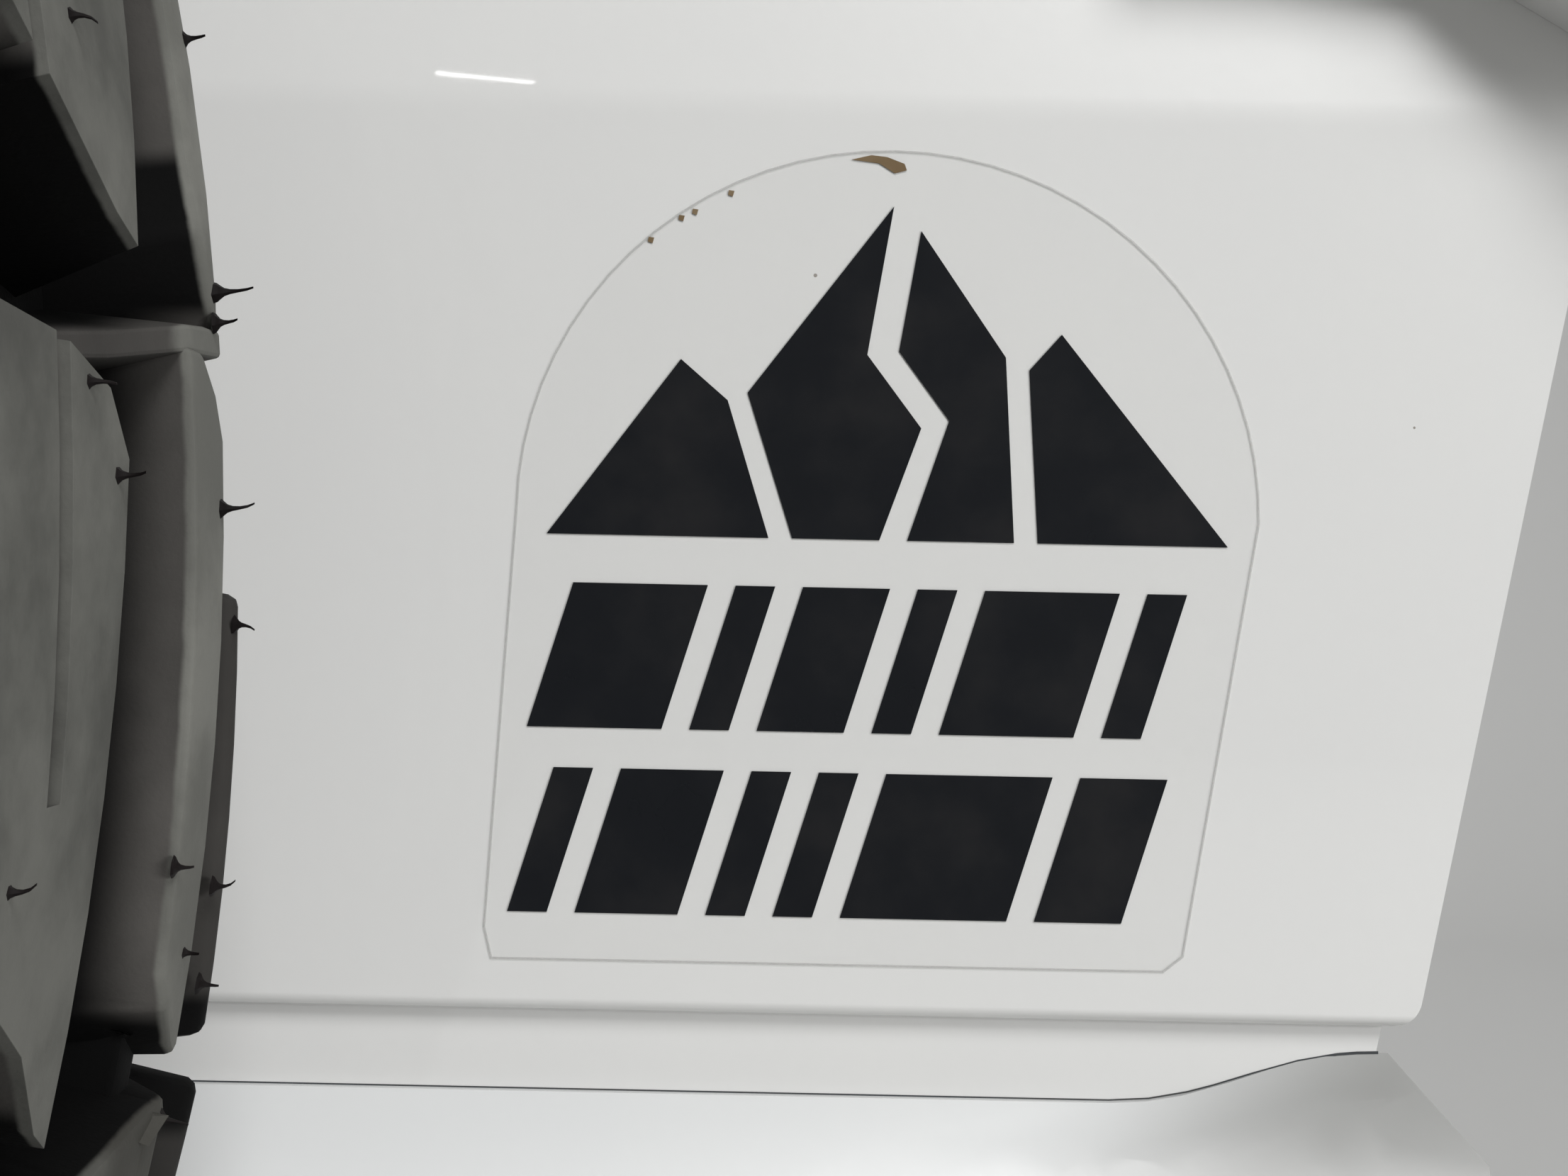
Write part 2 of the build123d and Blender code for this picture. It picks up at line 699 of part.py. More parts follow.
with BuildPart() as spare_rim:
    flange_r = BEAD_R + RIM_FLANGE
    seat_r = BEAD_R - RIM_BEAD_GAP
    wall_r = BEAD_R - RIM_WALL - RIM_STEP
    well_in_r = RIM_WELL_R - RIM_WALL
    flange_end = BEAD_OUT + RIM_FLANGE_OUT
    hump = BEAD_OUT - RIM_SEAT
    disc_low = RIM_WELL_HALF - DISC_FOOT
    with BuildSketch(Plane.XZ):
        with BuildLine():
            barrel_out = [
                (seat_r, hump + RIM_STEP),
                (RIM_WELL_R, RIM_WELL_HALF + RIM_WELL_SHIFT),
                (RIM_WELL_R, -RIM_WELL_HALF),
                (seat_r, -hump - RIM_STEP),
                (BEAD_R - RIM_SKIM, -BEAD_OUT),
                (flange_r, -flange_end),
                (flange_r, -flange_end - RIM_LIP),
                (wall_r, -BEAD_OUT - RIM_LIP),
            ]
            barrel_in = [
                (seat_r - RIM_WALL, -hump),
                (well_in_r, -RIM_WELL_HALF - RIM_BEND),
                (well_in_r, RIM_WELL_HALF + RIM_WELL_SHIFT + RIM_BEND),
                (seat_r - RIM_WALL, hump),
                (wall_r, BEAD_OUT + RIM_LIP),
                (flange_r, flange_end + RIM_LIP),
                (flange_r, flange_end),
                (BEAD_R - RIM_SKIM, BEAD_OUT),
            ]
            Polyline(*barrel_out, *barrel_in, close=True)
        make_face()
    revolve(axis=Axis.Z)
    with BuildSketch(Plane.XZ):
        with BuildLine():
            Polyline(
                (HUB_R, DISC_BACK),
                (DISC_PAD_R, DISC_BACK),
                (DISC_PAD_R + DISC_RISE, DISC_BACK + DISC_DISH),
                (VENT_PITCH_R + DISC_SHOULDER, DISC_BACK + DISC_DISH),
                (well_in_r + RIM_BEAD_GAP, disc_low),
                (well_in_r + RIM_BEAD_GAP, disc_low + DISC_SHOULDER),
                (VENT_PITCH_R + DISC_SHOULDER + DISC_ROUND, DISC_BACK + DISC_DISH + DISC_THICK),
                (DISC_PAD_R + DISC_RISE - DISC_ROUND, DISC_BACK + DISC_DISH + DISC_THICK),
                (DISC_PAD_R - DISC_ROUND, DISC_BACK + DISC_THICK),
                (HUB_R, DISC_BACK + DISC_THICK),
                close=True,
            )
        make_face()
    revolve(axis=Axis.Z)
    with BuildSketch():
        with PolarLocations(VENT_PITCH_R, VENT_COUNT):
            Circle(VENT_R)
        with PolarLocations(STUD_PITCH_R, STUD_COUNT):
            Circle(STUD_HOLE_R)
    extrude(amount=DEPTH_SPAN, both=True, mode=Mode.SUBTRACT)
save(UPRIGHT * spare_rim.part, "spare_rim")

with BuildPart() as wheel_nuts:
    with BuildSketch(Plane.XY.offset(DISC_BACK + DISC_THICK)):
        with PolarLocations(STUD_PITCH_R, NUT_COUNT):
            RegularPolygon(NUT_ACROSS / 2, 6, major_radius=False)
        with PolarLocations(STUD_PITCH_R, NUT_COUNT):
            Circle(STUD_R + PIN_FIT, mode=Mode.SUBTRACT)
    extrude(amount=NUT_HIGH)
save(UPRIGHT * wheel_nuts.part, "wheel_nuts")

with BuildPart() as wheel_carrier:
    with BuildSketch(Plane.XZ):
        with Locations((0, CARRIER_MID_Z)):
            RectangleRounded(CARRIER_BASE_WIDE, CARRIER_BASE_HIGH, CARRIER_BASE_ROUND)
    extrude(amount=CARRIER_BASE)
    with BuildSketch(Plane.XZ.offset(CARRIER_BASE)):
        with Locations((0, CARRIER_MID_Z)):
            RectangleRounded(CARRIER_FOOT_WIDE, CARRIER_FOOT_HIGH, CARRIER_BASE_ROUND)
    with BuildSketch(Plane.XZ.offset(WHEEL_OUT + DISC_BACK)):
        Circle(CARRIER_TOP_R)
    loft()
    with BuildSketch(Plane.XZ.offset(CARRIER_BASE)):
        with Locations((0, CARRIER_MID_Z)):
            with GridLocations(CARRIER_BOLT_PITCH_X, CARRIER_BOLT_PITCH_Z, 2, 2):
                RegularPolygon(CARRIER_BOLT_R, 6)
    extrude(amount=CARRIER_BOLT_HIGH)
    with BuildSketch(Plane.XZ.offset(WHEEL_OUT + DISC_BACK)):
        with PolarLocations(STUD_PITCH_R, NUT_COUNT):
            Circle(STUD_R)
    extrude(amount=DISC_THICK + NUT_HIGH + STUD_PAST_NUT)
save(wheel_carrier.part, "wheel_carrier")

# Handle: a rimmed cup on the leaning face, with a pull plate across it and a lock below.
HANDLE_UP = up_facet(HANDLE_Z)

with BuildPart() as handle_cup:
    with BuildSketch(FACET):
        with Locations((HANDLE_X, HANDLE_UP)):
            RectangleRounded(HANDLE_WIDE, HANDLE_HIGH, HANDLE_ROUND)
    extrude(amount=HANDLE_PROUD)
    with BuildSketch(FACET.offset(HANDLE_PROUD)):
        with Locations((HANDLE_X, HANDLE_UP)):
            RectangleRounded(
                HANDLE_WIDE - 2 * HANDLE_RIM,
                HANDLE_HIGH - 2 * HANDLE_RIM,
                HANDLE_ROUND - HANDLE_RIM / 2,
            )
    extrude(amount=CUP_FLOOR - HANDLE_PROUD, mode=Mode.SUBTRACT)
save(handle_cup.part, "handle_cup")

with BuildPart() as handle_pull:
    with BuildSketch(FACET.offset(HANDLE_PROUD + PULL_GAP)):
        with Locations((HANDLE_X, HANDLE_UP + PULL_HIGH / 4)):
            RectangleRounded(PULL_WIDE, PULL_HIGH, PULL_ROUND)
    extrude(amount=PULL_THICK)
    with BuildSketch(FACET.offset(CUP_FLOOR)):
        with Locations((HANDLE_X, HANDLE_UP + PULL_HIGH / 4)):
            Rectangle(PULL_WIDE - 2 * PULL_ROUND, PULL_FOOT)
    extrude(amount=HANDLE_PROUD + PULL_GAP - CUP_FLOOR)
save(handle_pull.part, "handle_pull")

with BuildPart() as lock_barrel:
    with BuildSketch(FACET):
        with Locations((HANDLE_X, HANDLE_UP - LOCK_DROP)):
            Circle(LOCK_R)
    extrude(amount=LOCK_PROUD)
save(lock_barrel.part, "lock_barrel")

INSIDE = FACET.offset(-INNER_BACK * math.cos(FACET_LEAN))

with BuildPart() as latch:
    with BuildSketch(INSIDE):
        with Locations((LATCH_X, up_facet(LATCH_Z))):
            RectangleRounded(LATCH_WIDE, LATCH_HIGH, LATCH_WIDE / 6)
    extrude(amount=-LATCH_DEEP)
    with BuildSketch(INSIDE):
        with Locations((LATCH_X - LATCH_WIDE / 2, up_facet(LATCH_Z))):
            Rectangle(LATCH_SLOT_WIDE, LATCH_SLOT_HIGH)
    extrude(amount=-LATCH_DEEP, mode=Mode.SUBTRACT)
save(latch.part, "latch")

with BuildPart() as grab_handle:
    with BuildLine(Plane.XY.offset(GRAB_Z)):
        FilletPolyline(
            (GRAB_X - GRAB_SPAN / 2, TRIM_BACK),
            (GRAB_X - GRAB_SPAN / 2, TRIM_BACK + GRAB_OUT),
            (GRAB_X + GRAB_SPAN / 2, TRIM_BACK + GRAB_OUT),
            (GRAB_X + GRAB_SPAN / 2, TRIM_BACK),
            radius=2 * GRAB_R,
        )
    with BuildSketch(Plane((GRAB_X - GRAB_SPAN / 2, TRIM_BACK, GRAB_Z), z_dir=(0, 1, 0))):
        Circle(GRAB_R)
    sweep()
    with BuildSketch(Plane((GRAB_X, TRIM_BACK, GRAB_Z), x_dir=(1, 0, 0), z_dir=(0, 1, 0))):
        with GridLocations(GRAB_SPAN, 0, 2, 1):
            Circle(GRAB_FOOT_R)
    extrude(amount=GRAB_FOOT)
save(grab_handle.part, "grab_handle")

with BuildPart() as slam_buffers:
    with BuildSketch(INSIDE):
        for side in (-1, 1):
            with Locations((side * BUFFER_X, up_facet(BUFFER_Z))):
                Circle(BUFFER_R)
    extrude(amount=-BUFFER_HIGH)
save(slam_buffers.part, "slam_buffers")

LAMP_UP = up_facet(LAMP_Z)

with BuildPart() as stop_lamp_housing:
    with BuildSketch(FACET):
        with Locations((0, LAMP_UP)):
            RectangleRounded(LAMP_WIDE, LAMP_HIGH, LAMP_ROUND)
    extrude(amount=LAMP_OUT)
    with BuildSketch(FACET.offset(LAMP_OUT)):
        with Locations((0, LAMP_UP)):
            Rectangle(LAMP_LENS_WIDE, LAMP_LENS_HIGH)
    extrude(amount=-LAMP_LENS_DEEP, mode=Mode.SUBTRACT)
save(stop_lamp_housing.part, "stop_lamp_housing")

with BuildPart() as stop_lamp_lens:
    with BuildSketch(FACET.offset(LAMP_OUT)):
        with Locations((0, LAMP_UP)):
            Rectangle(LAMP_LENS_WIDE, LAMP_LENS_HIGH)
    extrude(amount=-LAMP_LENS_DEEP)
save(stop_lamp_lens.part, "stop_lamp_lens")

# Wiper: arm and blade turn together about the spindle, square to the leaning face.
WIPER_UP = up_facet(WIPER_Z)
ARM_BASE = SPINDLE_HIGH + ARM_GAP

with BuildPart() as wiper_spindle:
    with BuildSketch(FACET):
        with Locations((WIPER_X, WIPER_UP)):
            Circle(SPINDLE_R)
    extrude(amount=SPINDLE_HIGH)
    with BuildSketch(FACET.offset(SPINDLE_HIGH)):
        with Locations((WIPER_X, WIPER_UP)):
            Circle(SPINDLE_CORE_R)
    extrude(amount=ARM_GAP + ARM_HUB_HIGH / 2)
save(wiper_spindle.part, "wiper_spindle")

with BuildPart() as wiper_arm:
    with BuildSketch(FACET.offset(ARM_BASE)):
        with Locations((WIPER_X, WIPER_UP)):
            Circle(ARM_HUB_R)
    extrude(amount=ARM_HUB_HIGH)
    with BuildSketch(FACET.offset(ARM_BASE + ARM_HUB_HIGH - ARM_THICK)):
        with BuildLine():
            Polyline(
                (WIPER_X, WIPER_UP - ARM_HUB_WIDE / 2),
                (WIPER_X, WIPER_UP + ARM_HUB_WIDE / 2),
                (WIPER_X - ARM_LONG, WIPER_UP + ARM_TIP_WIDE / 2),
                (WIPER_X - ARM_LONG, WIPER_UP - ARM_TIP_WIDE / 2),
                close=True,
            )
        make_face()
    extrude(amount=ARM_THICK)
    with BuildSketch(FACET):
        with Locations((WIPER_X, WIPER_UP)):
            Circle(SPINDLE_CORE_R + PIN_FIT)
    extrude(amount=ARM_BASE + ARM_HUB_HIGH / 2 + ARM_GAP / 2, mode=Mode.SUBTRACT)
save(wiper_arm.part, "wiper_arm")

BLADE_TOP = ARM_BASE + ARM_HUB_HIGH - ARM_THICK

with BuildPart() as wiper_blade:
    with BuildSketch(FACET.offset(BLADE_TOP)):
        with Locations((WIPER_X - ARM_LONG, WIPER_UP)):
            Rectangle(BLADE_LONG, BLADE_WIDE)
    extrude(amount=-BLADE_HIGH)
    with BuildSketch(FACET.offset(BLADE_TOP)):
        with Locations((WIPER_X - ARM_LONG, WIPER_UP)):
            Rectangle(BLADE_LONG, BLADE_LIP)
    extrude(amount=-BLADE_LIP_HIGH)
save(wiper_blade.part, "wiper_blade")
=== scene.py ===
"""Looks of a side-hinged rear door with its spare wheel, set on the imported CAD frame.

Lengths named with _MM are millimetres in door coordinates: X to the right seen from behind the
vehicle, Y forward into it, Z up, measured from the spare wheel's axis and the door's flat outer face.
Blender works in metres from the hinge bolts' centre, and place() turns one into the other.
"""

import logging
import math
import random
from collections.abc import Iterator
from contextlib import contextmanager
from dataclasses import dataclass, field
from enum import Enum

import bmesh
import bpy
from mathutils import Euler, Matrix, Vector


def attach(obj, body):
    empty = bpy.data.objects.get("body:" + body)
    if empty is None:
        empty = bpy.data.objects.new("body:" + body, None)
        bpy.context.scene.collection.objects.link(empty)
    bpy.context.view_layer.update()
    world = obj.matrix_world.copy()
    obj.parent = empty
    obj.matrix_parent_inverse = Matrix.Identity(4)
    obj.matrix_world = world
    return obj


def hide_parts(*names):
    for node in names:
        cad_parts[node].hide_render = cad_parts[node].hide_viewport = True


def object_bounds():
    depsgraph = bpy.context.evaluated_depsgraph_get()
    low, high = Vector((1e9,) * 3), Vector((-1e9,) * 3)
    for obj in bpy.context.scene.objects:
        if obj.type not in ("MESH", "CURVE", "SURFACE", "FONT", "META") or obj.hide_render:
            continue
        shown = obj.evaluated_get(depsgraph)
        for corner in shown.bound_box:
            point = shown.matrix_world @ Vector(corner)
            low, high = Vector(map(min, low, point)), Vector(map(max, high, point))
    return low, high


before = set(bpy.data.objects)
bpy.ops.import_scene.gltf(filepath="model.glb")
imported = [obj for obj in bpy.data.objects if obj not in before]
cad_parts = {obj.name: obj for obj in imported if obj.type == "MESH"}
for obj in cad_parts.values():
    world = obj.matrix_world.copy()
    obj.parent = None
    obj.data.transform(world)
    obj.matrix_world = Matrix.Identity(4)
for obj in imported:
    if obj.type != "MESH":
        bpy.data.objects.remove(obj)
CAD_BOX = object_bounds()
LOG = logging.getLogger("rear_door")

MM = 0.001
SEED = 7
ORIGIN_MM = Vector((628.0, 0.0, 205.0))
WHEEL_AXIS_MM = (0.0, -163.0, 0.0)


class Body(Enum):
    """The frame's rigid bodies."""

    FIXED = "root"
    DOOR = "door"
    WIPER = "wiper"


def place(x_mm: float, y_mm: float, z_mm: float) -> Vector:
    """Turn door coordinates in millimetres into the frame's metres.

    Args:
        x_mm: Distance right of the wheel's axis.
        y_mm: Distance forward of the flat outer face.
        z_mm: Height over the wheel's axis.

    Returns:
        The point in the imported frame.
    """
    return (Vector((x_mm, y_mm, z_mm)) - ORIGIN_MM) * MM


# Mesh tools


def deselect() -> None:
    """Leave every object unselected, with none active."""
    if bpy.context.object and bpy.context.object.mode != "OBJECT":
        bpy.ops.object.mode_set(mode="OBJECT")
    bpy.ops.object.select_all(action="DESELECT")
    bpy.context.view_layer.objects.active = None


def activate(piece: bpy.types.Object) -> None:
    """Select one object alone and make it active."""
    deselect()
    piece.select_set(True)
    bpy.context.view_layer.objects.active = piece


@contextmanager
def editing(piece: bpy.types.Object) -> Iterator[None]:
    """Hold a piece in edit mode with all of it selected.

    Args:
        piece: The mesh object to edit.
    """
    activate(piece)
    bpy.ops.object.mode_set(mode="EDIT")
    bpy.ops.mesh.select_all(action="SELECT")
    yield
    bpy.ops.object.mode_set(mode="OBJECT")


def named(name: str) -> bpy.types.Object:
    """Name the active object and its mesh, and give it back."""
    piece = bpy.context.object
    piece.name = name
    piece.data.name = name
    return piece


def settle(piece: bpy.types.Object) -> None:
    """Put the piece's place, turn and size into its mesh."""
    activate(piece)
    bpy.ops.object.transform_apply(location=True, rotation=True, scale=True)


def smooth(piece: bpy.types.Object, degrees: float = 35.0) -> None:
    """Shade a piece smooth, apart from edges sharper than an angle; large faces stay flat."""
    activate(piece)
    bpy.ops.object.shade_smooth_by_angle(angle=math.radians(degrees))
    even = piece.modifiers.new("even", "WEIGHTED_NORMAL")
    even.keep_sharp = True
    bpy.ops.object.modifier_apply(modifier=even.name)


def bevel(piece: bpy.types.Object, width_mm: float, segments: int = 3, degrees: float = 28.0) -> None:
    """Round a piece's sharp edges with an applied bevel.

    Args:
        piece: The mesh object.
        width_mm: Width of the rounding.
        segments: Faces across the rounding.
        degrees: Edges sharper than this are rounded.
    """
    activate(piece)
    rounding = piece.modifiers.new("rounding", "BEVEL")
    rounding.width = width_mm * MM
    rounding.segments = segments
    rounding.limit_method = "ANGLE"
    rounding.angle_limit = math.radians(degrees)
    rounding.use_clamp_overlap = True
    bpy.ops.object.modifier_apply(modifier=rounding.name)


def cad_copy(node: str, name: str, width_mm: float, segments: int = 3) -> bpy.types.Object:
    """Copy a CAD node as a welded mesh with rounded edges.

    Args:
        node: The CAD node's name.
        name: The new piece's name.
        width_mm: Width of the rounding on its edges.
        segments: Faces across the rounding.

    Returns:
        The new piece, which stands for the node.
    """
    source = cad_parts[node]
    piece = bpy.data.objects.new(name, source.data.copy())
    bpy.context.scene.collection.objects.link(piece)
    with editing(piece):
        bpy.ops.mesh.remove_doubles(threshold=0.004 * MM)
        bpy.ops.mesh.dissolve_limited(angle_limit=math.radians(0.4))
    bevel(piece, width_mm, segments)
    smooth(piece)
    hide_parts(node)
    return piece


def joined(pieces: list[bpy.types.Object], name: str) -> bpy.types.Object:
    """Join several meshes into one named piece."""
    activate(pieces[0])
    for piece in pieces:
        piece.select_set(True)
    bpy.ops.object.join()
    return named(name)


def dress(piece: bpy.types.Object, body: Body, material: bpy.types.Material) -> None:
    """Give a piece its material and the body that carries it.

    Args:
        piece: The finished piece.
        body: The body it moves with.
        material: The finish to show.
    """
    piece.data.materials.clear()
    piece.data.materials.append(material)
    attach(piece, body.value)
    LOG.info("%s: %d faces on %s", piece.name, len(piece.data.polygons), body.value)


# Shader tools


class Value:
    """A shader number whose operators add Math nodes."""

    def __init__(self, tree: bpy.types.NodeTree, socket: bpy.types.NodeSocket) -> None:
        """Wrap an output socket of a tree."""
        self.tree = tree
        self.socket = socket

    def _math(self, operation: str, *terms: "Value | float") -> "Value":
        """Add a Math node over the given terms and wrap its result."""
        node = self.tree.nodes.new("ShaderNodeMath")
        node.operation = operation
        for entry, term in zip(node.inputs, terms):
            if isinstance(term, Value):
                self.tree.links.new(term.socket, entry)
            else:
                entry.default_value = term
        return Value(self.tree, node.outputs[0])

    def __add__(self, other: "Value | float") -> "Value":
        """Add."""
        return self._math("ADD", self, other)

    __radd__ = __add__

    def __sub__(self, other: "Value | float") -> "Value":
        """Subtract."""
        return self._math("SUBTRACT", self, other)

    def __rsub__(self, other: float) -> "Value":
        """Subtract from a number."""
        return self._math("SUBTRACT", other, self)

    def __mul__(self, other: "Value | float") -> "Value":
        """Multiply."""
        return self._math("MULTIPLY", self, other)

    __rmul__ = __mul__

    def __pow__(self, other: float) -> "Value":
        """Raise to a power."""
        return self._math("POWER", self, other)

    def __gt__(self, other: "Value | float") -> "Value":
        """Give 1 where greater, else 0."""
        return self._math("GREATER_THAN", self, other)

    def __lt__(self, other: "Value | float") -> "Value":
        """Give 1 where less, else 0."""
        return self._math("LESS_THAN", self, other)

    def __mod__(self, other: float) -> "Value":
        """Give the positive remainder."""
        return self._math("FLOORED_MODULO", self, other)

    def __abs__(self) -> "Value":
        """Drop the sign."""
        return self._math("ABSOLUTE", self)

    def angle(self, across: "Value") -> "Value":
        """Give the angle in degrees of a point with this height and a distance across."""
        return self._math("ARCTAN2", self, across) * math.degrees(1.0)

    def step(self, low: float, high: float) -> "Value":
        """Rise smoothly from 0 at low to 1 at high."""
        node = self.tree.nodes.new("ShaderNodeMapRange")
        node.interpolation_type = "SMOOTHSTEP"
        self.tree.links.new(self.socket, node.inputs["Value"])
        node.inputs["From Min"].default_value = low
        node.inputs["From Max"].default_value = high
        return Value(self.tree, node.outputs["Result"])


Colour = tuple[float, float, float]
Outline = list[tuple[float, float]]


class Shader:
    """One material under construction."""

    def __init__(self, name: str) -> None:
        """Start an empty node material."""
        self.material = bpy.data.materials.new(name)
        self.material.use_nodes = True
        self.tree = self.material.node_tree
        self.tree.nodes.clear()

    def node(self, kind: str, settings: dict | None = None, sockets: dict | None = None) -> bpy.types.Node:
        """Add a node.

        Args:
            kind: The node's type, without the ShaderNode prefix.
            settings: Attributes of the node, set first.
            sockets: Values or links of its inputs, by name or index.

        Returns:
            The new node.
        """
        made = self.tree.nodes.new(f"ShaderNode{kind}")
        for key, setting in (settings or {}).items():
            setattr(made, key, setting)
        for key, given in (sockets or {}).items():
            entry = made.inputs[key]
            if isinstance(given, Value):
                self.tree.links.new(given.socket, entry)
            elif isinstance(given, bpy.types.NodeSocket):
                self.tree.links.new(given, entry)
            elif isinstance(given, tuple) and entry.type == "RGBA" and len(given) == 3:
                entry.default_value = (*given, 1.0)
            else:
                entry.default_value = given
        return made

    def value(self, node: bpy.types.Node, output: str | int = 0) -> Value:
        """Wrap one output of a node for maths."""
        return Value(self.tree, node.outputs[output])

    def place(self) -> bpy.types.NodeSocket:
        """Give the piece's own coordinates, in metres."""
        return self.node("TexCoord").outputs["Object"]

    def axes(self) -> tuple[Value, Value, Value]:
        """Give the three coordinates as numbers."""
        split = self.node("SeparateXYZ", sockets={"Vector": self.place()})
        return self.value(split, "X"), self.value(split, "Y"), self.value(split, "Z")

    def noise(self, scale: float, detail: float = 3.0, roughness: float = 0.5) -> Value:
        """Give a cloudy pattern with so many grains to a metre."""
        made = self.node(
            "TexNoise",
            sockets={"Vector": self.place(), "Scale": scale, "Detail": detail, "Roughness": roughness},
        )
        return self.value(made, "Fac")

    def cells(self, scale: float) -> Value:
        """Give the distance to the nearest of scattered points."""
        made = self.node("TexVoronoi", sockets={"Vector": self.place(), "Scale": scale})
        return self.value(made, "Distance")

    def mix(
        self, share: Value, low: Colour | bpy.types.NodeSocket, high: Colour | bpy.types.NodeSocket,
    ) -> bpy.types.NodeSocket:
        """Blend two colours by a share from 0 to 1."""
        made = self.node("Mix", {"data_type": "RGBA"}, {0: share, 6: low, 7: high})
        return made.outputs[2]

    def bump(self, height: Value, strength: float, distance_mm: float) -> bpy.types.NodeSocket:
        """Turn a height pattern into a surface normal."""
        made = self.node(
            "Bump", sockets={"Strength": strength, "Distance": distance_mm * MM, "Height": height},
        )
        return made.outputs["Normal"]

    def surface(self, sockets: dict) -> bpy.types.Material:
        """Finish with one principled surface and give the material."""
        body = self.node("BsdfPrincipled", sockets=sockets)
        self.node("OutputMaterial", sockets={"Surface": body.outputs[0]})
        return self.material


# Finishes


@dataclass(frozen=True)
class Paint:
    """Gloss body paint under clear coat, with fine grit and small chips, and optional painted shade and dark
    reflection on the outer lower ends.
    """

    name: str
    colour: Colour = (0.70, 0.70, 0.685)
    shade: Colour = (0.685, 0.685, 0.675)
    grit: Colour = (0.16, 0.13, 0.10)
    roughness: float = 0.35
    grit_scale: float = 130.0
    grit_size: float = 0.055
    coat_roughness: float = 0.02
    # Painted shade and dark reflection: a darker colour laid on the outer lower ends, where the surface turns
    # away from the light.
    painted_shade: Colour = (0.25, 0.25, 0.24)
    painted_shade_mm: tuple[float, float] | None = None
    painted_shade_floor_mm: tuple[float, float] = (-205.0, -140.0)
    painted_shade_top_mm: float = -80.0
    painted_shade_slope: float = 1.2
    painted_shade_cover: float = 0.9

    def make(self) -> bpy.types.Material:
        """Build the material, with painted shade between two distances from the door's middle if they are
        given.
        """
        shader = Shader(self.name)
        cloud = shader.noise(7.0, 12.0, 0.85).step(0.25, 0.75)
        base = shader.mix(cloud, self.colour, self.shade)
        dots = shader.cells(self.grit_scale) < shader.noise(9.0, 2.0).step(0.52, 0.74) * self.grit_size
        colour = shader.mix(dots * 0.8, base, self.grit)
        # Painted shade: darker away from the door's middle and lower down, faded out near the bottom; film is
        # its share.
        if self.painted_shade_mm:
            across, _, up = shader.axes()
            out = abs(across - place(0, 0, 0).x) - (up - place(0, 0, self.painted_shade_top_mm).z) * self.painted_shade_slope
            kept = up.step(*(place(0, 0, limit).z for limit in self.painted_shade_floor_mm))
            film = out.step(*(limit * MM for limit in self.painted_shade_mm)) * kept * self.painted_shade_cover
            colour = shader.mix(film, colour, self.painted_shade)
        peel = shader.noise(420.0, 2.0)
        return shader.surface({
            "Base Color": colour,
            "Roughness": shader.noise(18.0, 4.0) * 0.08 + (self.roughness - 0.04),
            "Normal": shader.bump(peel, 0.05, 0.3),
            "Specular IOR Level": 0.5,
            "Coat Weight": 0.75,
            "Coat Roughness": self.coat_roughness,
        })


@dataclass(frozen=True)
class Rubber:
    """Dull black rubber with a little bloom."""

    name: str
    colour: Colour = (0.016, 0.016, 0.017)
    bloom: Colour = (0.05, 0.05, 0.048)
    roughness: float = 0.62
    specular: float = 0.5

    def make(self) -> bpy.types.Material:
        """Build the material."""
        shader = Shader(self.name)
        haze = shader.noise(22.0, 5.0).step(0.42, 0.75)
        return shader.surface({
            "Base Color": shader.mix(haze, self.colour, self.bloom),
            "Roughness": shader.noise(60.0) * 0.2 + (self.roughness - 0.1),
            "Normal": shader.bump(shader.noise(900.0), 0.15, 0.2),
            "Specular IOR Level": self.specular,
        })


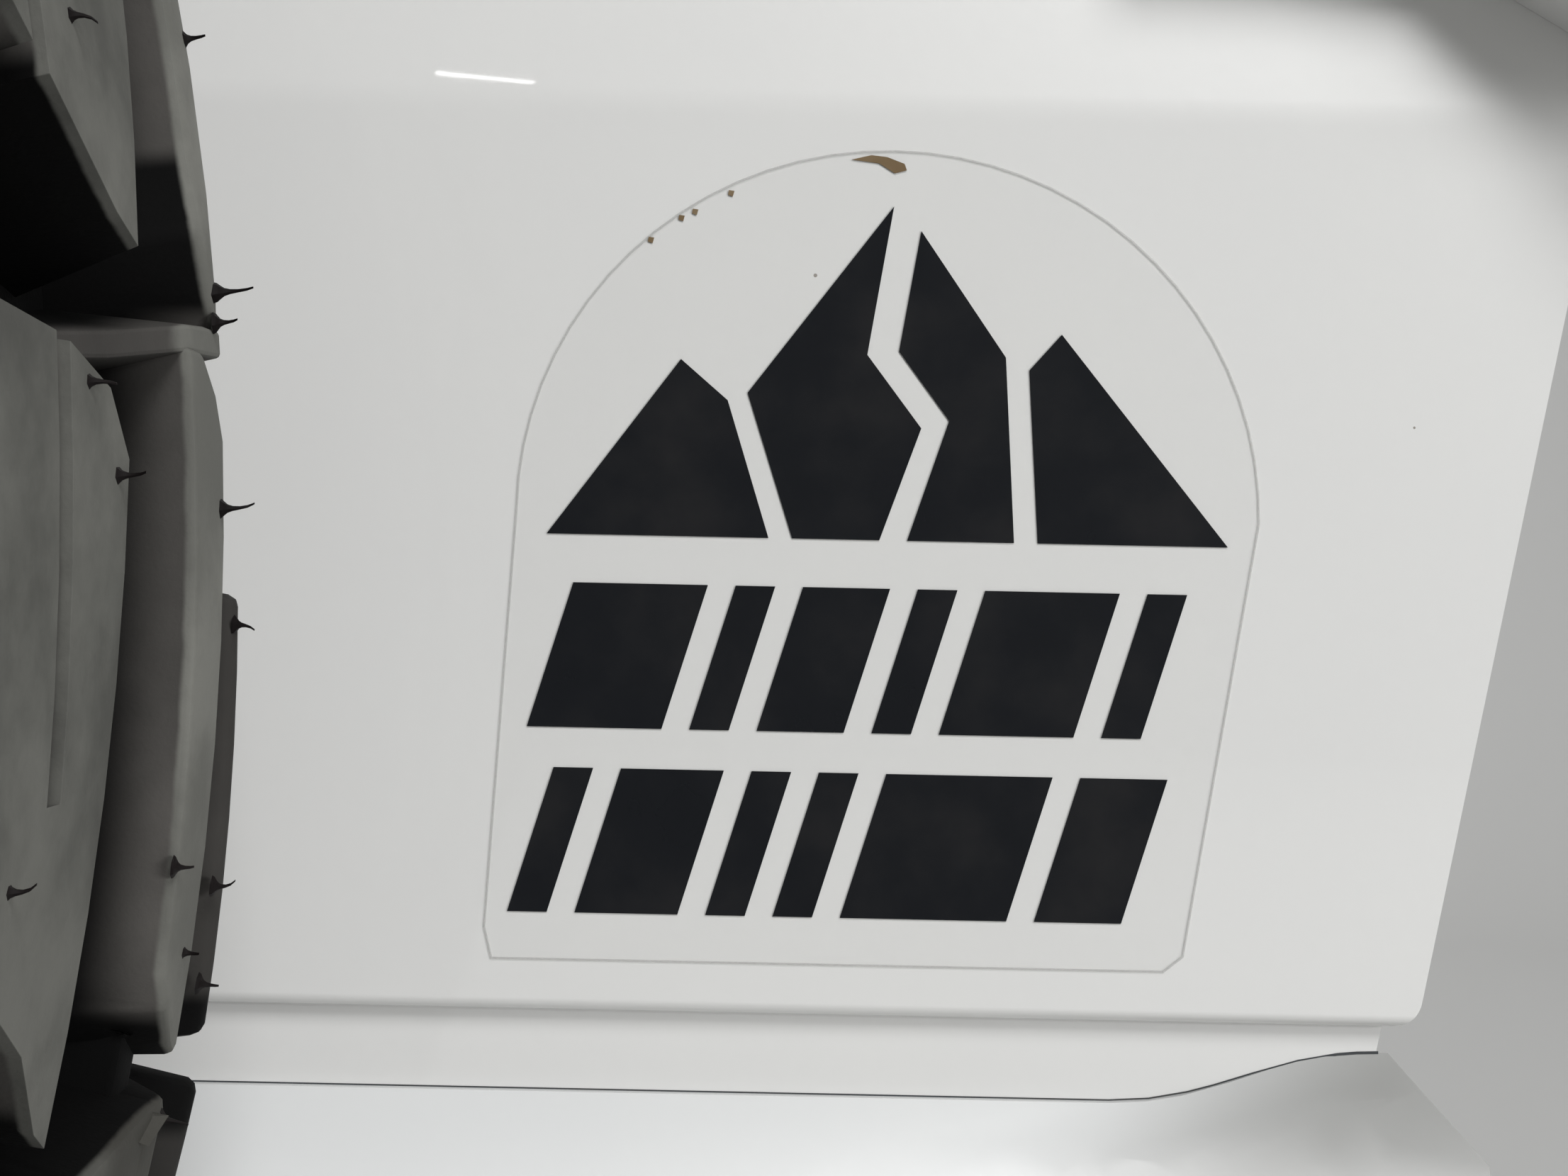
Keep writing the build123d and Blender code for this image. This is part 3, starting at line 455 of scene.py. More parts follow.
@dataclass(frozen=True)
class TreadRubber:
    """Tyre rubber: grey and dusty where the lugs meet the road, the tops also painted lighter as if lit, with
    painted shade that makes the grooves, the pockets and the tread's outer faces near black.
    """

    name: str
    axis_mm: tuple[float, float, float]
    top_r_mm: float
    edge_mm: float = 0.9
    fade_mm: float = 1.7
    # Painted shade in the recesses: below the tops the groove walls fade to the near-black floor colour, and
    # the listed pockets turn black.
    groove_shade_mm: float = 11.0
    # Painted shade: widths of the tread's outer faces, which are darkened.
    outer_shade_mm: tuple[float, float] = (94.5, 96.5)
    pitch_deg: float = 30.0
    shaded_pockets_deg: tuple[tuple[float, float], ...] = ((4.8, 8.2), (18.4, 21.8))
    pocket_shade_ramp_deg: float = 0.5
    shoulder_mm: tuple[float, float] = (62.0, 76.0)
    # A darker brown band over part of each pitch on the shoulders.
    dark_patch_deg: tuple[float, float] = (15.0, 19.9)
    dark_patch_ramps_deg: tuple[float, float] = (0.6, 0.3)
    dark_brown: Colour = (0.030, 0.028, 0.024)
    sidewall_mm: tuple[float, float] = (340.0, 349.0)
    flank: Colour = (0.022, 0.022, 0.022)
    bloom: Colour = (0.040, 0.039, 0.037)
    # Near-black colour of the painted shade in grooves, pockets and on the tread's outer faces.
    floor: Colour = (0.002, 0.002, 0.002)
    wall: Colour = (0.094, 0.089, 0.083)
    # Top colours: partly dust and wear, partly painted light on the lit lug tops.
    grey: Colour = (0.072, 0.072, 0.066)
    dust: Colour = (0.165, 0.165, 0.150)

    def make(self) -> bpy.types.Material:
        """Build the material."""
        shader = Shader(self.name)
        x, y, z = shader.axes()
        centre = place(*self.axis_mm)
        across = x - centre.x
        up = z - centre.z
        radius = (across * across + up * up) ** 0.5
        top = self.top_r_mm * MM
        ragged = radius + (shader.noise(160.0, 4.0) - 0.5) * (0.8 * MM)
        # Painted shade: mask of the tread's outer faces, which are kept out of the top colour and darkened.
        outer = abs(y - centre.y).step(*(limit * MM for limit in self.outer_shade_mm))
        # Mask of the lug tops, which take the top colour: partly real dust and wear, partly painted light
        # that makes them lighter than the walls.
        high = ragged.step(top - self.fade_mm * MM, top - self.edge_mm * MM) * (1.0 - outer)
        # Painted shade: share of the wall colour, falling to the floor colour with depth.
        deep = radius.step(top - self.groove_shade_mm * MM, top - self.fade_mm * MM)
        turn = (up.angle(across) + 360.0) % self.pitch_deg
        ramp = self.pocket_shade_ramp_deg
        # Painted shade: the listed pockets on the door's side go black.
        pocket_shade = sum(
            turn.step(start, start + ramp) * (1.0 - turn.step(end - ramp, end))
            for start, end in self.shaded_pockets_deg
        ) * (y > centre.y)
        shoulder = abs(y - centre.y).step(*(limit * MM for limit in self.shoulder_mm))
        worn = shader.noise(34.0, 6.0, 0.6).step(0.35, 0.72)
        smears = shader.noise(14.0, 5.0, 0.6).step(0.4, 0.7)
        # A darker brown band over part of each pitch on the shoulders.
        (start, end), (rise, fall) = self.dark_patch_deg, self.dark_patch_ramps_deg
        dark_patch = turn.step(start, start + rise) * (1.0 - turn.step(end, end + fall)) * shoulder
        # Top colour: grey to dusty by wear, lighter on the shoulders; this lightness is partly dust and
        # partly painted light.
        face = shader.mix(worn * 0.7 + shoulder * 0.45, self.grey, self.dust)
        face = shader.mix(dark_patch * 0.75, face, self.dark_brown)
        # Painted shade: groove walls fade to near black with depth and in the pockets.
        side = shader.mix(deep * (0.55 + 0.45 * smears) * (1.0 - pocket_shade), self.floor, self.wall)
        # Painted shade: the tread's outer faces darkened towards near black.
        side = shader.mix(outer * 0.55, side, self.floor)
        tread = radius.step(*(limit * MM for limit in self.sidewall_mm))
        flank = shader.mix(smears, self.flank, self.bloom)
        colour = shader.mix(tread, flank, shader.mix(high, side, face))
        grain = shader.noise(1500.0, 3.0) * 0.5 + shader.noise(240.0, 4.0)
        return shader.surface({
            "Base Color": colour,
            "Roughness": 0.5 + tread * 0.4 - shader.noise(50.0, 3.0) * 0.12,
            "Normal": shader.bump(grain, 0.3, 0.3),
            "Specular IOR Level": 0.1,
        })


@dataclass(frozen=True)
class Coated:
    """Painted or moulded black surface with fine grain and settled dust."""

    name: str
    colour: Colour = (0.014, 0.014, 0.015)
    dust: Colour = (0.07, 0.067, 0.062)
    roughness: float = 0.4
    grain_scale: float = 700.0
    grain: float = 0.1
    coat: float = 0.0

    def make(self) -> bpy.types.Material:
        """Build the material."""
        shader = Shader(self.name)
        settled = shader.noise(12.0, 6.0, 0.6).step(0.5, 0.85)
        return shader.surface({
            "Base Color": shader.mix(settled * 0.6, self.colour, self.dust),
            "Roughness": settled * 0.25 + self.roughness,
            "Normal": shader.bump(shader.noise(self.grain_scale, 2.0), self.grain, 0.25),
            "Coat Weight": self.coat,
        })


@dataclass(frozen=True)
class Metal:
    """Bare or plated metal with faint smears."""

    name: str
    colour: Colour = (0.62, 0.62, 0.61)
    roughness: float = 0.2

    def make(self) -> bpy.types.Material:
        """Build the material."""
        shader = Shader(self.name)
        smear = shader.noise(80.0, 4.0)
        return shader.surface({
            "Base Color": shader.mix(smear.step(0.4, 0.8), self.colour, tuple(0.82 * c for c in self.colour)),
            "Metallic": 1.0,
            "Roughness": smear * 0.2 + self.roughness - 0.08,
        })


@dataclass(frozen=True)
class HeatedGlass:
    """Tinted window glass with thin heater lines across it."""

    name: str
    tint: Colour = (0.60, 0.68, 0.655)
    line: Colour = (0.10, 0.05, 0.02)
    pitch_mm: float = 26.0
    line_mm: float = 0.9
    band_mm: tuple[float, float] = (406.0, 718.0)
    half_wide_mm: float = 405.0

    def make(self) -> bpy.types.Material:
        """Build the material."""
        shader = Shader(self.name)
        x, _, z = shader.axes()
        low, high = (place(0, 0, edge).z for edge in self.band_mm)
        lines = ((z - low) % (self.pitch_mm * MM)) < self.line_mm * MM
        inside = (z > low) * (z < high) * (abs(x - place(0, 0, 0).x) < self.half_wide_mm * MM)
        return shader.surface({
            "Base Color": shader.mix(lines * inside, self.tint, self.line),
            "Roughness": shader.noise(30.0, 3.0).step(0.6, 0.9) * 0.08,
            "Transmission Weight": 1.0,
            "IOR": 1.5,
        })


@dataclass(frozen=True)
class Lens:
    """Red lamp lens with moulded prisms."""

    name: str
    colour: Colour = (0.42, 0.008, 0.008)
    rib_mm: float = 6.0
    rib_gain: float = 300.0

    def make(self) -> bpy.types.Material:
        """Build the material."""
        shader = Shader(self.name)
        x, _, _ = shader.axes()
        ribs = abs(x % (self.rib_mm * MM) - self.rib_mm / 2 * MM) * self.rib_gain
        return shader.surface({
            "Base Color": shader.mix(ribs, self.colour, tuple(0.6 * c for c in self.colour)),
            "Roughness": 0.12,
            "Normal": shader.bump(ribs, 0.4, 0.6),
            "Coat Weight": 1.0,
        })


@dataclass(frozen=True)
class Vinyl:
    """Cut sticker vinyl, coloured or clear."""

    name: str
    colour: Colour = (0.008, 0.009, 0.011)
    worn: Colour = (0.016, 0.016, 0.017)
    cover: float = 1.0
    roughness: float = 0.6

    def make(self) -> bpy.types.Material:
        """Build the material."""
        shader = Shader(self.name)
        cloud = shader.noise(60.0, 4.0)
        return shader.surface({
            "Base Color": shader.mix(cloud.step(0.4, 0.8), self.colour, self.worn),
            "Roughness": cloud * 0.15 + self.roughness,
            "Specular IOR Level": 0.08,
            "Alpha": (0.85 + 0.3 * cloud) * self.cover,
        })


# Pieces of the door


@dataclass
class DoorShell:
    """Skin, inner panel, trim and the lower bumper section."""

    edge_mm: float = 1.4
    bumper_edge_mm: float = 0.7
    inner_edge_mm: float = 6.0
    trim_edge_mm: float = 3.0
    band_mm: float = 3.5
    bumper_top_mm: float = -80.0
    # Size and lift of the dark seam strip, which is painted shadow.
    strip_mm: float = 0.22
    strip_lift_mm: float = 0.1
    strip_thick_mm: float = 0.08
    band_end_mm: float = 532.7
    body_paint: Paint = Paint("body_white")
    # The bumper's paint carries painted shade and dark reflection on its outer lower ends.
    bumper_paint: Paint = Paint(
        "bumper_white", colour=(0.695, 0.705, 0.70), shade=(0.68, 0.69, 0.69),
        painted_shade_mm=(474.0, 532.0), coat_roughness=0.4,
    )
    trim_finish: Coated = Coated("trim_charcoal", colour=(0.045, 0.045, 0.048), roughness=0.6, grain=0.5)

    def build(self) -> None:
        """Round and paint the four shells."""
        paint = self.body_paint.make()
        dress(cad_copy("outer_panel", "door_skin", self.edge_mm, 4), Body.DOOR, paint)
        dress(cad_copy("inner_panel", "door_inner", self.inner_edge_mm, 4), Body.DOOR, paint)
        dress(
            cad_copy("lower_bumper", "bumper_section", self.bumper_edge_mm, 4),
            Body.DOOR, self.bumper_paint.make(),
        )
        dress(
            cad_copy("trim_panel", "door_trim", self.trim_edge_mm),
            Body.DOOR, self.trim_finish.make(),
        )
        # Painted shadow: a dark strip stands in for the shade in the gap under the band.
        dress(self.gap_shadow(), Body.DOOR, Rubber("seam_strip", colour=(0.03, 0.036, 0.042)).make())

    def gap_shadow(self) -> bpy.types.Object:
        """Lay the thin dark strip between the band and the bumper section's top edge, as painted shadow for
        the narrow gap there.
        """
        band_y = place(0, self.band_mm, 0).y
        low = place(0, 0, self.bumper_top_mm).z - self.strip_mm * MM
        edge = sorted(
            (v.co.copy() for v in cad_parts["lower_bumper"].data.vertices
             if abs(v.co.y - band_y) < 0.02 * MM and v.co.z > low
             and abs(v.co.x - place(0, 0, 0).x) < self.band_end_mm * MM),
            key=lambda point: point.x,
        )
        deselect()
        bpy.ops.mesh.primitive_grid_add(x_subdivisions=len(edge) - 1, y_subdivisions=1, size=1.0)
        strip = named("bumper_seam")
        for vertex in strip.data.vertices:
            spot = edge[round((vertex.co.x + 0.5) * (len(edge) - 1))]
            rise = self.strip_mm * MM if vertex.co.y > 0 else -self.strip_mm * MM
            vertex.co = spot + Vector((0, -self.strip_lift_mm * MM, rise))
        with editing(strip):
            bpy.ops.mesh.extrude_region_move(
                TRANSFORM_OT_translate={"value": (0, self.strip_thick_mm * MM, 0)},
            )
            bpy.ops.mesh.select_all(action="SELECT")
            bpy.ops.mesh.remove_doubles(threshold=0.001 * MM)
            bpy.ops.mesh.normals_make_consistent(inside=False)
        return strip


@dataclass
class Hardware:
    """Hinges, handle, lock, latch, lamp, buffers, grab handle and seals."""

    hinge_edge_mm: float = 2.0
    small_edge_mm: float = 0.9
    seal_edge_mm: float = 3.0

    def build(self) -> None:
        """Round and dress each fitting."""
        white = Paint("hinge_white").make()
        plastic = Coated("black_plastic", roughness=0.45, grain=0.3).make()
        rubber = Rubber("seal_rubber").make()
        chrome = Metal("bright_metal", roughness=0.12).make()
        zinc = Metal("zinc_plate", colour=(0.55, 0.53, 0.46), roughness=0.34).make()
        for level in ("lower", "upper"):
            dress(
                cad_copy(f"door_hinge_{level}", f"hinge_strap_{level}", self.hinge_edge_mm),
                Body.DOOR, white,
            )
            dress(
                cad_copy(f"body_hinge_{level}", f"hinge_leaf_{level}", self.small_edge_mm),
                Body.FIXED, white,
            )
        for node, name, slot, finish in (
            ("handle_cup", "handle_surround", "black_plastic", plastic),
            ("handle_pull", "handle_plate", "black_plastic", plastic),
            ("lock_barrel", "lock_face", "bright_metal", chrome),
            ("latch", "latch_case", "zinc", zinc),
            ("grab_handle", "grab_bar", "black_plastic", plastic),
            ("slam_buffers", "door_buffers", "rubber", rubber),
            ("stop_lamp_housing", "lamp_case", "black_plastic", plastic),
            ("stop_lamp_lens", "lamp_lens", "red_lens", Lens("lamp_red").make()),
            ("wiper_spindle", "wiper_cap", "black_plastic", plastic),
        ):
            dress(cad_copy(node, name, self.small_edge_mm), Body.DOOR, finish)
        for node, name in (("wiper_arm", "wiper_lever"), ("wiper_blade", "wiper_rubber")):
            slot = "wiper_metal" if node == "wiper_arm" else "rubber"
            dress(
                cad_copy(node, name, self.small_edge_mm), Body.WIPER,
                plastic if node == "wiper_arm" else rubber,
            )
        for node, name in (("weather_seal", "door_seal"), ("window_seal", "glass_seal")):
            dress(cad_copy(node, name, self.seal_edge_mm), Body.DOOR, rubber)
        dress(
            cad_copy("window_glass", "glass_pane", self.small_edge_mm),
            Body.DOOR, HeatedGlass("heated_glass").make(),
        )


@dataclass(frozen=True)
class Column:
    """One line of a tread block along its arc, and the root below it.

    Widths are measured from the tyre's middle towards the door, at the low and the high end.
    """

    radius_mm: float
    widths_mm: tuple[float, float]
    ends_deg: tuple[float, float]
    root_mm: tuple[float, float]


@dataclass(frozen=True)
class Block:
    """One kind of tread block, with a slit in its top if it has one."""

    columns: tuple[Column, ...]
    slit_deg: tuple[float, float] | None = None


@dataclass
class SpareWheel:
    """Carrier, steel rim and the lugged tyre with its moulding whiskers."""

    axis_mm: tuple[float, float, float] = WHEEL_AXIS_MM
    top_mm: float = 367.5
    carcass_mm: float = 350.0
    tread_edge_mm: float = 94.0
    row_root_mm: float = 342.0
    rim_edge_mm: float = 1.5
    lug_edge_mm: float = 1.3
    draft_deg: float = 0.7
    rows: int = 6
    slit_mm: tuple[float, float] = (30.5, 34.5)
    slit_over_mm: float = 6.0
    slit_deep_mm: float = 7.0
    carcass_steps: int = 144
    pitch_deg: float = 30.0
    far_side_turn_deg: float = 7.5
    # angle, width and share of the full length
    whisker_spots: tuple[tuple[float, float, float], ...] = (
        (10.4, 91.5, 0.62), (5.5, 92.5, 1.0), (4.9, 92.0, 0.6), (1.3, 91.0, 0.85), (-0.95, 98.5, 0.5),
        (-6.15, 98.5, 0.55), (-8.1, 98.5, 0.5), (-10.55, 91.5, 0.75), (-5.4, 80.0, 0.45), (-7.2, 88.0, 0.5),
        (8.9, 44.0, 0.6), (3.0, 40.0, 0.6), (1.6, 49.0, 0.7), (-4.6, 22.0, 0.6), (14.2, 84.0, 0.5),
    )
    whisker_jitter_deg: float = 0.8
    whisker_growth: tuple[float, float] = (0.7, 1.2)
    # height, radius and bend
    whisker_rings_mm: tuple[tuple[float, float, float], ...] = (
        (0.0, 1.7, 0.0), (0.6, 1.5, 0.0), (1.0, 1.1, 0.0), (1.5, 0.65, 0.02), (2.2, 0.4, 0.06),
        (3.2, 0.27, 0.2), (4.3, 0.22, 0.55), (5.2, 0.16, 1.2),
    )

    def shoulder(
        self, high: tuple[float, ...], low: tuple[float, ...], inner: tuple[float, float],
        drop_mm: float = 0.0,
    ) -> tuple[Column, ...]:
        """Give a shoulder block that runs from the tread down the sidewall.

        Args:
            high: High end of each column in degrees.
            low: Low end of each column in degrees.
            inner: Width of the inner edge at the low and the high end.
            drop_mm: How far the top lies below the other blocks.

        Returns:
            The block's columns, inner edge first.
        """
        top = self.top_mm - drop_mm
        step = [(self.tread_edge_mm - w) / 3 for w in inner]
        tops = [tuple(w + s * n for w, s in zip(inner, step)) for n in range(4)]
        # radius, widths at both ends, and the root's radius and width
        places = (
            (top, tops[0], (340.0, inner[1] - 3.0)), (top + 0.1, tops[1], (340.0, 74.0)),
            (top, tops[2], (338.0, 80.0)), (top - 0.4, tops[3], (336.0, 85.0)),
            (top - 6.5, (99.5, 99.5), (331.0, 89.0)), (345.0, (107.0, 107.0), (326.0, 95.0)),
            (330.0, (111.5, 111.5), (320.0, 101.0)),
        )
        return tuple(
            Column(radius, widths, (a, b), (root[1], root[0]))
            for (radius, widths, root), a, b in zip(places, low, high)
        )

    def blocks(self) -> list[Block]:
        """Give the tread blocks of the door side; the far side mirrors them."""
        long_lug = self.shoulder(
            (4.2, 4.2, 3.6, 2.6, 3.0, 3.6, 3.6), (-7.4, -8.2, -9.0, -9.4, -9.4, -9.2, -8.8), (81.0, 79.0),
        )
        short_lug = self.shoulder(
            (19.4, 19.6, 19.8, 19.8, 19.8, 19.6, 19.2), (7.8, 6.6, 5.4, 4.6, 4.5, 4.6, 4.8), (84.6, 84.0),
        )
        head = self.shoulder((19.4, 19.6, 19.8, 19.8, 19.8, 19.6, 19.2), (15.5,) * 7, (62.0, 62.0))
        tie = self.shoulder((-8.8,) * 7, (-10.8,) * 7, (86.0, 86.0), 5.0)
        biters = [
            tuple(
                Column(radius, (width + out[0], width + out[1]), span, (width - 8.0, radius - 22.0))
                for radius, width, out in (
                    (self.top_mm + 0.2, 97.0, outs), (self.top_mm, 100.5, outs), (360.0, 106.0, (3.0, 3.0)),
                    (345.0, 111.0, (0.0, 0.0)),
                )
            )
            for outs, span in (((6.0, 0.0), (-9.3, -0.4)), ((5.0, 8.5), (13.0, 19.6)))
        ]
        # drop below the tread, width, and both ends
        bar = tuple(
            Column(self.top_mm - drop, (width, width), span, (width, self.row_root_mm))
            for drop, width, span in (
                (6.0, 46.0, (3.5, 3.95)), (4.5, 62.0, (3.75, 4.25)), (0.7, 80.0, (4.15, 4.65)),
                (0.5, 88.0, (4.2, 4.75)), (0.9, 96.0, (4.3, 4.8)),
            )
        )
        rows = [
            tuple(
                Column(
                    self.top_mm + 0.3 - 0.006 * widths[0], widths, span,
                    (widths[1] + 1.5 * math.copysign(1, widths[1] - 30.0), self.row_root_mm),
                )
                for widths, span in places
            )
            for places in (
                (
                    ((4.0, 4.0), (-4.8, 3.9)), ((13.0, 14.0), (-5.5, 3.8)), ((31.5, 33.0), (-7.3, 3.6)),
                    ((39.5, 47.0), (-8.8, 3.0)), ((44.0, 53.0), (-9.2, 1.9)),
                ),
                (
                    ((4.0, 4.0), (10.2, 18.9)), ((13.0, 14.0), (9.5, 18.8)), ((33.5, 35.0), (7.7, 18.6)),
                    ((53.0, 62.0), (6.0, 18.2)), ((60.0, 74.0), (5.6, 16.9)),
                ),
            )
        ]
        return [
            *(Block(columns) for columns in (long_lug, short_lug, head, tie, bar, *biters)),
            Block(rows[0], (-3.2, 6.0)),
            Block(rows[1], (7.5, 13.5)),
        ]

    def build(self) -> None:
        """Build the carrier, rim, nuts and tyre."""
        steel = Coated("black_steel", roughness=0.36, grain=0.15, coat=0.2).make()
        dress(cad_copy("wheel_carrier", "wheel_bracket", self.rim_edge_mm), Body.DOOR, steel)
        dress(cad_copy("spare_rim", "steel_wheel", self.rim_edge_mm, 2), Body.DOOR, steel)
        dress(
            cad_copy("wheel_nuts", "plated_nuts", self.rim_edge_mm), Body.DOOR,
            Metal("plated_nut").make(),
        )
        tyre = joined([self.carcass(), *self.tread()], "lugged_tyre")
        threads = self.whiskers()
        for piece in (tyre, threads):
            piece.location = place(*self.axis_mm)
            settle(piece)
            smooth(piece, 32.0)
        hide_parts("spare_tyre")
        dress(tyre, Body.DOOR, TreadRubber("tread_rubber", self.axis_mm, self.top_mm).make())
        dress(
            threads, Body.DOOR,
            Rubber("whisker_rubber", (0.003, 0.002, 0.002), (0.008, 0.006, 0.006), specular=0.1).make(),
        )

    def spot(self, radius_mm: float, width_mm: float, turn_deg: float) -> Vector:
        """Give a point of the wheel, whose axis is Y, from radius, width and angle."""
        turn = math.radians(turn_deg)
        return Vector((radius_mm * math.cos(turn), width_mm, radius_mm * math.sin(turn))) * MM

    def block(self, columns: tuple[Column, ...], turn_deg: float, side: float) -> bpy.types.Object:
        """Form one tread block from its columns.

        Args:
            columns: Lines along the block, inner edge first.
            turn_deg: Angle added to the columns' ends.
            side: 1 for the door's side, -1 for the far side.

        Returns:
            The block as a closed mesh, with the wheel's axis on Y.
        """
        last = len(columns) - 1
        deselect()
        bpy.ops.mesh.primitive_grid_add(x_subdivisions=last, y_subdivisions=self.rows, size=1.0)
        piece = bpy.context.object
        with editing(piece):
            bpy.ops.mesh.extrude_region_move(TRANSFORM_OT_translate={"value": (0, 0, 1.0)})
        for vertex in piece.data.vertices:
            column = columns[round((vertex.co.x + 0.5) * last)]
            share = vertex.co.y + 0.5
            low, high = column.ends_deg
            if vertex.co.z > 0.5:
                radius = column.radius_mm
                width = column.widths_mm[0] + (column.widths_mm[1] - column.widths_mm[0]) * share
            else:
                low, high = low - self.draft_deg, high + self.draft_deg
                width, radius = column.root_mm
            vertex.co = self.spot(radius, side * width, turn_deg + low + (high - low) * share)
        with editing(piece):
            bpy.ops.mesh.normals_make_consistent(inside=False)
        return piece

    def slit(
        self, piece: bpy.types.Object, span_deg: tuple[float, float], turn_deg: float, side: float,
    ) -> None:
        """Cut a narrow slit into a block's top.

        Args:
            piece: The block to cut.
            span_deg: Low and high end of the slit.
            turn_deg: Angle added to the ends.
            side: 1 for the door's side, -1 for the far side.
        """
        cutter = self.block(
            tuple(
                Column(
                    self.top_mm + self.slit_over_mm, (width, width), span_deg,
                    (width, self.top_mm - self.slit_deep_mm),
                )
                for width in self.slit_mm
            ),
            turn_deg, side,
        )
        activate(piece)
        cut = piece.modifiers.new("slit", "BOOLEAN")
        cut.operation = "DIFFERENCE"
        cut.object = cutter
        cut.solver = "EXACT"
        bpy.ops.object.modifier_apply(modifier=cut.name)
        bpy.data.objects.remove(cutter, do_unlink=True)

    def copies(self) -> int:
        """Give the number of each block round the wheel."""
        return round(360.0 / self.pitch_deg)

    def ringed(self, piece: bpy.types.Object) -> None:
        """Repeat a block round the wheel at an even pitch."""
        with editing(piece):
            bpy.ops.mesh.spin(
                steps=self.copies() - 1, dupli=True, angle=math.radians(360.0 - self.pitch_deg),
                center=(0, 0, 0), axis=(0, 1, 0),
            )

    def tread(self) -> list[bpy.types.Object]:
        """Make every ring of blocks, on both sides of the tyre."""
        rings = []
        for kind in self.blocks():
            for side, turn in ((1.0, 0.0), (-1.0, self.far_side_turn_deg)):
                piece = self.block(kind.columns, turn, side)
                if kind.slit_deg:
                    self.slit(piece, kind.slit_deg, turn, side)
                bevel(piece, self.lug_edge_mm, 2, 30.0)
                self.ringed(piece)
                rings.append(piece)
        return rings

    def carcass(self) -> bpy.types.Object:
        """Spin the tyre's wall, bead to bead, with raised rings on its sides."""
        base = self.carcass_mm
        # radius and width, from the bead to the crown
        half = [
            (190.5, 62.5), (190.5, 82.5), (208.0, 92.0), (214.0, 97.0), (219.0, 97.5), (222.0, 96.0),
            (245.0, 107.0), (272.0, 114.5), (288.0, 114.8), (290.0, 113.4), (300.0, 112.4), (302.0, 113.6),
            (318.0, 109.0), (334.0, 99.0), (345.0, 90.0), (base, 80.0), (base, 30.0),
        ]
        inner = [(338.0, 30.0), (334.0, 78.0), (272.0, 102.0), (215.0, 76.0)]
        loop = half + [(r, -w) for r, w in reversed(half)] + [(r, -w) for r, w in reversed(inner)] + inner
        deselect()
        bpy.ops.mesh.primitive_circle_add(vertices=len(loop), radius=1.0, fill_type="NOTHING")
        piece = bpy.context.object
        for vertex, (radius, width) in zip(piece.data.vertices, loop):
            vertex.co = self.spot(radius, width, 0.0)
        with editing(piece):
            bpy.ops.mesh.spin(steps=self.carcass_steps, angle=math.tau, center=(0, 0, 0), axis=(0, 1, 0))
            bpy.ops.mesh.select_all(action="SELECT")
            bpy.ops.mesh.remove_doubles(threshold=0.01 * MM)
            bpy.ops.mesh.normals_make_consistent(inside=False)
        return piece

    def thread(self) -> bpy.types.Object:
        """Form one whisker along Z: a flared foot and a thin thread with a bent tip."""
        (_, foot, _), *rings = self.whisker_rings_mm
        deselect()
        bpy.ops.mesh.primitive_circle_add(vertices=6, radius=foot * MM, fill_type="NGON")
        piece = named("thread")
        with editing(piece):
            at, size, lean = 0.0, foot, 0.0
            for height, radius, bend in rings:
                bpy.ops.mesh.extrude_region_move(
                    TRANSFORM_OT_translate={"value": ((bend - lean) * MM, 0, (height - at) * MM)},
                )
                bpy.ops.transform.resize(value=(radius / size,) * 3)
                at, size, lean = height, radius, bend
            bpy.ops.mesh.select_all(action="SELECT")
            bpy.ops.mesh.normals_make_consistent(inside=False)
        return piece

    def whiskers(self) -> bpy.types.Object:
        """Set thin moulding whiskers on the shoulders and the block tops."""
        chance = random.Random(SEED)
        spots = list(self.whisker_spots)
        for turn in range(1, self.copies()):
            for angle, width, share in self.whisker_spots:
                shift = chance.uniform(-self.whisker_jitter_deg, self.whisker_jitter_deg)
                grown = share * chance.uniform(*self.whisker_growth)
                spots.append((angle + self.pitch_deg * turn + shift, width, grown))
        for turn in range(self.copies()):
            for angle, width, share in self.whisker_spots:
                grown = share * chance.uniform(*self.whisker_growth)
                spots.append((angle + self.pitch_deg * turn + self.far_side_turn_deg, -width, grown))
        template = self.thread()
        threads = []
        for angle, width, share in spots:
            turn = math.radians(angle)
            out = Vector((math.cos(turn), 0.10 * math.copysign(1, width), math.sin(turn))).normalized()
            thread = bpy.data.objects.new("whisker", template.data.copy())
            bpy.context.scene.collection.objects.link(thread)
            roll = Matrix.Rotation(chance.uniform(0, math.tau), 4, "Z")
            stretch = Matrix.Diagonal((0.85, 0.85, share, 1.0))
            reach = self.top_mm - 0.6 if abs(width) < 97.0 else self.top_mm - 0.3
            spot = self.spot(reach, width, angle)
            lie = out.to_track_quat("Z", "Y").to_matrix().to_4x4()
            thread.matrix_world = Matrix.Translation(spot) @ lie @ roll @ stretch
            threads.append(thread)
        bpy.data.objects.remove(template, do_unlink=True)
        whiskers = joined(threads, "whiskers")
        settle(whiskers)
        return whiskers


